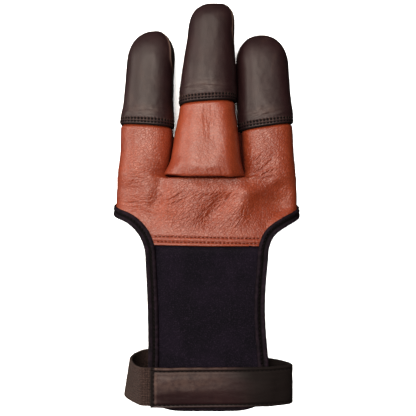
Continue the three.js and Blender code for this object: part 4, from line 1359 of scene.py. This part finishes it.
# %% Tape along the whole edge
left, right = EDGE_LINE[-1] * (-1, 1), EDGE_LINE[1][::-1]
loop = np.vstack([left, right[1:-1]])
on_leather = hand_point(loop[:, 0], loop[:, 1])
tape_run = run_of(np.vstack([on_leather, on_leather[:1]]))
TAPE_LENGTH, TAPE_RINGS = float(tape_run[-1]), 1100
at = np.linspace(0, TAPE_LENGTH, TAPE_RINGS, endpoint=False)
loop = sampled(at, tape_run, np.vstack([loop, [1.0, loop[0, 1]]]))
print("tape:", round(TAPE_LENGTH), "mm long")


def tape_frame():
    """How far round and along the hand one millimetre outwards is, at each place."""
    s, y = loop.T
    step = 1e-3
    around = (hand_point(s + step, y) - hand_point(s - step, y)) / (2 * step)
    along = (hand_point(s, y + step) - hand_point(s, y - step)) / (2 * step)
    ds = np.roll(s, -2) - np.roll(s, 2)
    ds = (ds + 1) % 2 - 1
    dy = np.roll(y, -2) - np.roll(y, 2)
    tangent = unit(around * ds[:, None] + along * dy[:, None])
    outwards = np.cross(tangent, unit(np.cross(around, along)))
    aa, bb, ab = (around**2).sum(1), (along**2).sum(1), (around * along).sum(1)
    pa, pb = (outwards * around).sum(1), (outwards * along).sum(1)
    det = aa * bb - ab * ab
    return (pa * bb - pb * ab) / det, (pb * aa - pa * ab) / det


step_around, step_along = tape_frame()


def tape_point(out, level):
    """A point by how far out of the covered edge it lies, and how far below the leather's face."""
    s = loop[:, 0][:, None] + out * step_around[:, None]
    y = loop[:, 1][:, None] + out * step_along[:, None]
    return hand_point(s, y, level + 0 * s)


def tape_section():
    wall = max(LEATHER, FABRIC)
    web = CLEARANCE + TAPE
    out_edge = TAPE_FOLD_GAP + TAPE
    in_edge = TAPE_WIDTH - out_edge
    bend = np.linspace(0, math.pi / 2, 6)
    top = [(-in_edge, -CLEARANCE - 0.02), (-in_edge - 0.02, -CLEARANCE - 0.5)]
    top += [(-in_edge + 0.25, -web + 0.03)]
    top += [(o, -web) for o in np.arange(-in_edge + 0.55, 0.55, 0.28)]
    curve = np.stack([np.sin(bend), -np.cos(bend)], -1) * TAPE_BEND
    corner = (curve + (out_edge - TAPE_BEND, TAPE_BEND - web)).tolist()
    back = [(o, wall - l) for o, l in reversed(top + corner)]
    gap = [(TAPE_FOLD_GAP, wall + CLEARANCE), (TAPE_FOLD_GAP, -CLEARANCE)]
    return np.array(top + corner + back + gap)


section = tape_section()
out, level = section.T
TAPE_ROW = -1.95
pull = np.array([noise.noise(Vector((a / 2.2, 4.0, 0))) for a in at])[:, None]
TAPE_STITCHES = round(TAPE_LENGTH / 1.9)
beat = 0.5 - 0.5 * np.cos(2 * math.pi * TAPE_STITCHES * at / TAPE_LENGTH)[:, None]
channel, roll, inner_strip = bell(out, -1.35, 0.5), bell(out, 0.25, 0.75), bell(out, -2.9, 0.45)
sewn = bell(out, TAPE_ROW, 0.4) * beat
on_face = abs(level - 0.65) > 1.2
puffed = 0.08 * pull - 0.34 * channel - 0.4 * sewn + 0.3 * roll + (0.14 + 0.08 * pull) * inner_strip
rings = tape_point(out + 0.1 * pull * (out < -3), level + np.where(level < 0, -1, 1) * on_face * puffed)
rings[..., 2] = np.maximum(rings[..., 2], 0.0)
# Painted shade: the channel and the stitch holes are coloured near black.
tape = ring_piece(
    "black_edge_tape", rings, edge_tape_weave, "edge_tape", "black_tape", joined=True,
    cloth=cloth_grid(at, out), hollow=np.clip(channel + 0.9 * sewn, 0, 1) * on_face,
)

# %% [markdown]
# ## The wrist loop
# The loop is a dark leather strap and a brown elastic. Each could be a curve with a bevel, but
# the edges of the two have to lie on one another, so both are rings that follow a line, which
# is drawn as seen from the wrist. In these charts the first two numbers are shares of the half
# palm's width and of the loop's height, and the third lifts the band over what lies under it.


# %% Lines of the wrist loop
STRAP_LINE = [
    (-0.58, 1, 1), (-0.4, 1, 1), (-0.22, 1, 0.7), (0, 1, 0.45), (0.21, 1, 0.33), (0.42, 1, 0.12),
    (0.6, 0.986, 0), (0.7, 0.958, 0), (0.79, 0.926, 0), (0.843, 0.894, 0), (0.873, 0.851, 0),
    (0.868, 0.794, 0), (0.835, 0.726, 0), (0.775, 0.643, 0), (0.64, 0.529, 0), (0.47, 0.384, 0),
    (0.32, 0.207, 0), (0.2, 0.093, 0), (0.07, 0.023, 0), (-0.08, 0.004, 0), (-0.2, 0, 0),
]
ELASTIC_LINE = [
    (-0.42, 1, 0), (-0.52, 1, 0), (-0.6, 1, 0), (-0.65, 0.996, 0), (-0.7, 0.968, 0),
    (-0.77, 0.857, 0), (-0.82, 0.69, 0), (-0.845, 0.502, 0), (-0.825, 0.293, 0), (-0.76, 0.125, 0),
    (-0.66, 0.036, 0), (-0.5, 0.006, 0), (-0.36, 0, 0.29), (-0.21, 0, 0.95), (-0.08, 0.008, 1),
    (0.05, 0.024, 1),
]
tape_top = hand_section(down_to_y(np.array(2.0)))[2] + TAPE + CLEARANCE
strap_rest, elastic_rest = tape_top + STRAP, tape_top + ELASTIC
closure_lift = STRAP + FASTENER + 2 * CLEARANCE


def loop_line(chart, rest, lift, count):
    """Evenly spaced points on a smooth line through the chart's rows, seen from the wrist."""
    across, height, raised = np.array(chart, float).T
    p = np.stack([across * PALM_WIDTH / 2, height * rest + raised * lift], -1)
    p = np.vstack([p[0], p, p[-1]])
    w = np.linspace(0, 1, 40, endpoint=False)[:, None]
    curve = []
    for a, b, c, d in zip(p, p[1:], p[2:], p[3:]):
        v0, v1 = (c - a) / 2, (d - b) / 2
        cubic = (2 * b - 2 * c + v0 + v1) * w**3 + (-3 * b + 3 * c - 2 * v0 - v1) * w**2
        curve.append(cubic + v0 * w + b)
    curve = np.vstack([*curve, p[-1:]])
    run = run_of(curve)
    even = np.linspace(0, run[-1], count)
    return sampled(even, run, curve), even


def band(line, turn, width, section, flare=0.0):
    """Rings of a bent band. The section counts across the band, and down from its outer face."""
    along = unit(np.gradient(line, axis=0))
    across, level = np.array(section).T
    start = STRAP_START + (STRAP_WIDTH - width) / 2
    x = line[:, :1] + turn * along[:, 1:] * level - flare * (1 - across / width)
    z = line[:, 1:] - turn * along[:, :1] * level
    return np.stack([x, start + across + 0 * x, z], -1)


strap_line, strap_run = loop_line(STRAP_LINE, strap_rest, ELASTIC + CLEARANCE, 300)
elastic_line, elastic_run = loop_line(ELASTIC_LINE, elastic_rest, closure_lift, 260)
print("strap:", round(strap_run[-1]), "mm, elastic:", round(elastic_run[-1]), "mm long")

# %% [markdown]
# The strap is leather folded over a core, so its long edges are rolled, with a stitched channel
# beside each, and its middle is crowned. It could be a plain band with all this in its bump, but
# the rolled edge and the crown catch the light in the photograph, so they are in the mesh.


# %% Strap
def strap_section():
    """A rolled edge, a stitched channel beside it and a flat middle, the same on both faces."""
    edge = np.array([
        (0.0, STRAP / 2), (0.1, STRAP / 2 - 0.5), (0.3, 0.1), (0.55, -0.1), (0.85, -0.07),
        (1.15, 0.15), (1.4, 0.3), (1.65, 0.3), (1.95, 0.09), (2.4, -0.12), (3.1, 0.0),
    ])
    middle = [(across, 0) for across in np.linspace(3.8, STRAP_WIDTH - 3.8, 24)]
    face = np.vstack([edge, middle, edge[::-1] * (-1, 1) + (STRAP_WIDTH, 0)])
    back = face[1:-1][::-1] * (1, -0.5) + (0, STRAP)
    return np.vstack([face, back])


section = strap_section()
rings = band(strap_line, 1, STRAP_WIDTH, section)
across, level = section.T
run, along_x = strap_run[:, None], strap_line[:, :1]
outer_side, from_edge = level < STRAP / 2, np.minimum(across, STRAP_WIDTH - across)
wave = waves(cloth_grid(strap_run / 13, across / 3.2) + (0, 0, 7)) * smooth(2.2, 4.5, from_edge)
crown = np.sin(math.pi * np.clip((across - 1.9) / (STRAP_WIDTH - 3.8), 0, 1)) ** 0.8
crown = crown * smooth(0.8, 5.0, run) * smooth(70, 52, run)
end_strip = 0.3 * bell(run, 1.1, 0.7) - 0.16 * bell(run, 2.7, 0.7)
lift = (crown + 0.16 * wave - end_strip) * outer_side
strap_along = unit(np.gradient(strap_line, axis=0))
rings[..., 0] -= strap_along[:, 1:] * lift
rings[..., 2] += strap_along[:, :1] * lift
edge_wave = np.array([noise.noise(Vector((a / 6, 1, 0))) for a in strap_run])[:, None]
rings[..., 1] += 0.16 * edge_wave * (abs(across / STRAP_WIDTH - 0.5) > 0.4)
rings[..., 2] = np.maximum(rings[..., 2], 0.0)
# Painted shade: in the stitched channels, at the strap's end, across its right half where it curves away
# from the light, and on the half of its width nearer the fingers.
dark = bell(from_edge, 1.5, 0.3) + smooth(2.0, 1.5, run)
dark = dark + 0.8 * smooth(6, 27, along_x) + 0.3 * smooth(11, 16, across)
# The raw edges are paler from wear; the lip beside the end seam and the upper left get a painted
# highlight.
rubbed = 0.7 * smooth(0.5, 0.1, from_edge) + 0.5 * bell(run, 2.6, 0.4)
rubbed = (rubbed + 0.5 * smooth(16, -6, along_x) * smooth(6, 12, across)) * outer_side
ring_piece(
    "wrist_strap_leather", rings, brown_leather, "wrist_strap", "brown_leather",
    cloth=cloth_grid(strap_run, across), hollow=np.clip(dark, 0, 1), rubbed=rubbed,
)

# %% [markdown]
# The elastic is woven round rubber cords that run along it, so its face has low ridges. The
# closure is hidden under the loop and is only a plain pad. Both are bands like the strap.

# %% Elastic and closure


def elastic_flare(line):
    sideways = smooth(0.55, 0.8, -2 * line[:, 0] / PALM_WIDTH)
    return 2.9 * sideways * (1 - smooth(0.6, 0.95, line[:, 1] / elastic_rest))


def woven_section(width, wall, cords):
    """A band with a soft edge and low cords that run along it."""
    across = np.linspace(0.35, width - 0.35, cords * 5)
    relief = 0.1 - 0.1 * np.cos(across / width * cords * 2 * math.pi)
    face = np.stack([across, 0.02 - relief], -1)
    face = np.vstack([[0.06, wall * 0.3], face, [width - 0.06, wall * 0.3]])
    back = face[::-1].copy()
    back[:, 1] = wall - back[:, 1]
    return np.vstack([face, back])


section = woven_section(ELASTIC_WIDTH, ELASTIC - 0.1, 16)
flare = elastic_flare(elastic_line)[:, None]
rings = band(elastic_line, -1, ELASTIC_WIDTH, section + (0, 0.05), flare)
rings[..., 2] = np.maximum(rings[..., 2], 0.0)
elastic = ring_piece(
    "loop_elastic", rings, elastic_weave, "strap_elastic", "brown_elastic",
    cloth=cloth_grid(elastic_run, section[:, 0]),
)

inwards = strap_along[:, ::-1] * (1, -1)
seat = strap_line + inwards * (STRAP + CLEARANCE)
from_tail = -0.2 * PALM_WIDTH / 2 + 1
pick = (seat[:, 1] < strap_rest / 4) & (seat[:, 0] > from_tail) & (seat[:, 0] < from_tail + 8)
half_pad = np.array([(0.4, 1.0), (0.5, 0.15), (0.9, 0.0)])
section = np.vstack([
    half_pad[1:], half_pad[::-1] * (-1, 1) + (FASTENER_WIDTH, 0),
    (FASTENER_WIDTH - 0.8, 1.15), (0.8, 1.15), half_pad[:1],
])
rings = band(seat[pick], 1, FASTENER_WIDTH, section)
ring_piece("hook_closure", rings, hook_closure, "strap_fastener", "black_fastener")

# %% [markdown]
# ## Stitches
# Every stitch is a short length of thread that comes up from one hole and goes down into the
# next. An Array modifier on a curve could repeat one, but it may cut the last one short. So each
# is a small bent capsule, placed by its number, and all the stitches of a seam are joined into
# one mesh. A row follows a line on the leather and knows which way is out at each point.


# %% Rows of stitches
def capsule(sides=6):
    """A unit stitch along x from -0.5 to 0.5, with z up: points and faces."""
    half = [(-0.5, 0.35, -0.9), (-0.42, 0.8, -0.1), (-0.2, 1.0, 0.35)]  # place, radius, height
    rings = half + [(-place, radius, height) for place, radius, height in half[::-1]]
    turn = np.arange(sides) / sides * 2 * math.pi
    points = np.array([(x, r * math.cos(t), h + r * math.sin(t)) for x, r, h in rings for t in turn])
    return points, ring_faces(len(rings), sides)


def stitch_row(line, normals, spacing, count=None, length=0.72, radius=0.28, lift=0.1):
    """Points and faces of a row of stitches on a line, with the surface's normals along it."""
    run = run_of(line)
    count = count or max(int(run[-1] / spacing), 1)
    at = (np.arange(count) + 0.5) * run[-1] / count
    centre = sampled(at, run, line)
    ahead = unit(sampled(at + 0.3, run, line) - sampled(at - 0.3, run, line))
    up = sampled(at, run, normals)
    up = unit(up - ahead * (up * ahead).sum(1)[:, None])
    side = np.cross(up, ahead)
    shape, faces = capsule()
    x, y, z = (shape * (spacing * length, radius, radius)).T
    points = centre[:, None] + ahead[:, None] * x[None, :, None] + side[:, None] * y[None, :, None]
    points = points + up[:, None] * (z[None, :, None] + lift)
    return points.reshape(-1, 3), faces, count


def sew(name, rows, thread, spacing=STITCH, **how):
    """One mesh of all the rows of stitches that a seam has."""
    points, faces, first = [], [], 0
    for line, normals, *fixed in rows:
        more, shape, count = stitch_row(line, normals, spacing, *fixed, **how)
        points.append(more)
        for start in range(first, first + len(more), len(more) // count):
            faces += [[start + corner for corner in face] for face in shape]
        first += len(more)
    new_piece(name, np.vstack(points), faces, thread)


def stall_row(name, up, sink):
    around = np.linspace(-1, 1, 200)
    y = FINGERS[name]["hem"] + up
    line = finger_point(name, around, y, sink)
    return line, unit(finger_point(name, around, y, sink - 0.2) - line), stitch_count(name, up)


for name in FINGERS:
    rows = [stall_row(name, STITCH_ROWS[0], 0.42), stall_row(name, STITCH_ROWS[1], 0.2)]
    sew(f"{name}_stall_stitches", rows, black_thread, radius=0.33)


# %% Stitches of the hand part
rows = []
for up in HEM_ROWS:
    left, right = (edge_around(side, EDGE_RISE - PALM_LENGTH + up) - leg for side in (-1, 1))
    around = np.linspace(-left, right, 160)
    y = EDGE_RISE - PALM_LENGTH + up - EDGE_SLOPE * around * PALM_WIDTH
    line = hand_point(around, y, 0.2)
    rows.append((line, unit(hand_point(around, y, -0.1) - line)))
sew("lower_edge_stitches", rows, red_thread, radius=0.27)

seam = hand_point(np.linspace(-0.2, 0.205, 120), -0.15, 0.9)
rows = [(seam, np.tile([0, 0.5, 0.86], (120, 1)))]
sew("middle_seam_stitches", rows, red_thread, spacing=1.7, radius=0.2, lift=0.0)

# %% Stitches of the tape and the strap
rows, far_face = [], max(LEATHER, FABRIC)
for level, outwards in ((-CLEARANCE - TAPE + 0.14, -0.2), (far_face + CLEARANCE + TAPE - 0.14, 0.2)):
    line = tape_point(TAPE_ROW, level)[:, 0]
    normal = unit(tape_point(TAPE_ROW, level + outwards)[:, 0] - line)
    line, normal = np.vstack([line, line[:1]]), np.vstack([normal, normal[:1]])
    line[:, 2] = np.maximum(line[:, 2], 0.2)
    rows.append((line, normal, TAPE_STITCHES))
sew("edge_tape_stitches", rows, black_thread, radius=0.26)

rows, pick = [], (strap_run > 1) & (strap_run < strap_run[-1] - 1)
normal = np.insert(-inwards, 1, 0, axis=1)
for across in (1.5, STRAP_WIDTH - 1.5):
    line = band(strap_line, 1, STRAP_WIDTH, [(across, 0.14)])[:, 0]
    rows.append((line[pick], normal[pick]))
x, z = strap_line[np.searchsorted(strap_run, 1.3)]
line = [(x, STRAP_START + across, z - 0.02) for across in np.linspace(1, STRAP_WIDTH - 1, 60)]
rows.append((np.array(line), np.tile([0, 0, 1.0], (60, 1))))
sew("strap_stitches", rows, black_thread, spacing=2.1, radius=0.24)

# %% [markdown]
# ## The elastic's cut size
# The panel, the tape and the elastic are cloth, but only the elastic's cut size is worked out
# here, its length and width in metres. The panel tapers, so it would fill only part of its rectangle.

# %% Sheets
flat = (elastic_run[-1] / 1000, ELASTIC_WIDTH / 1000)
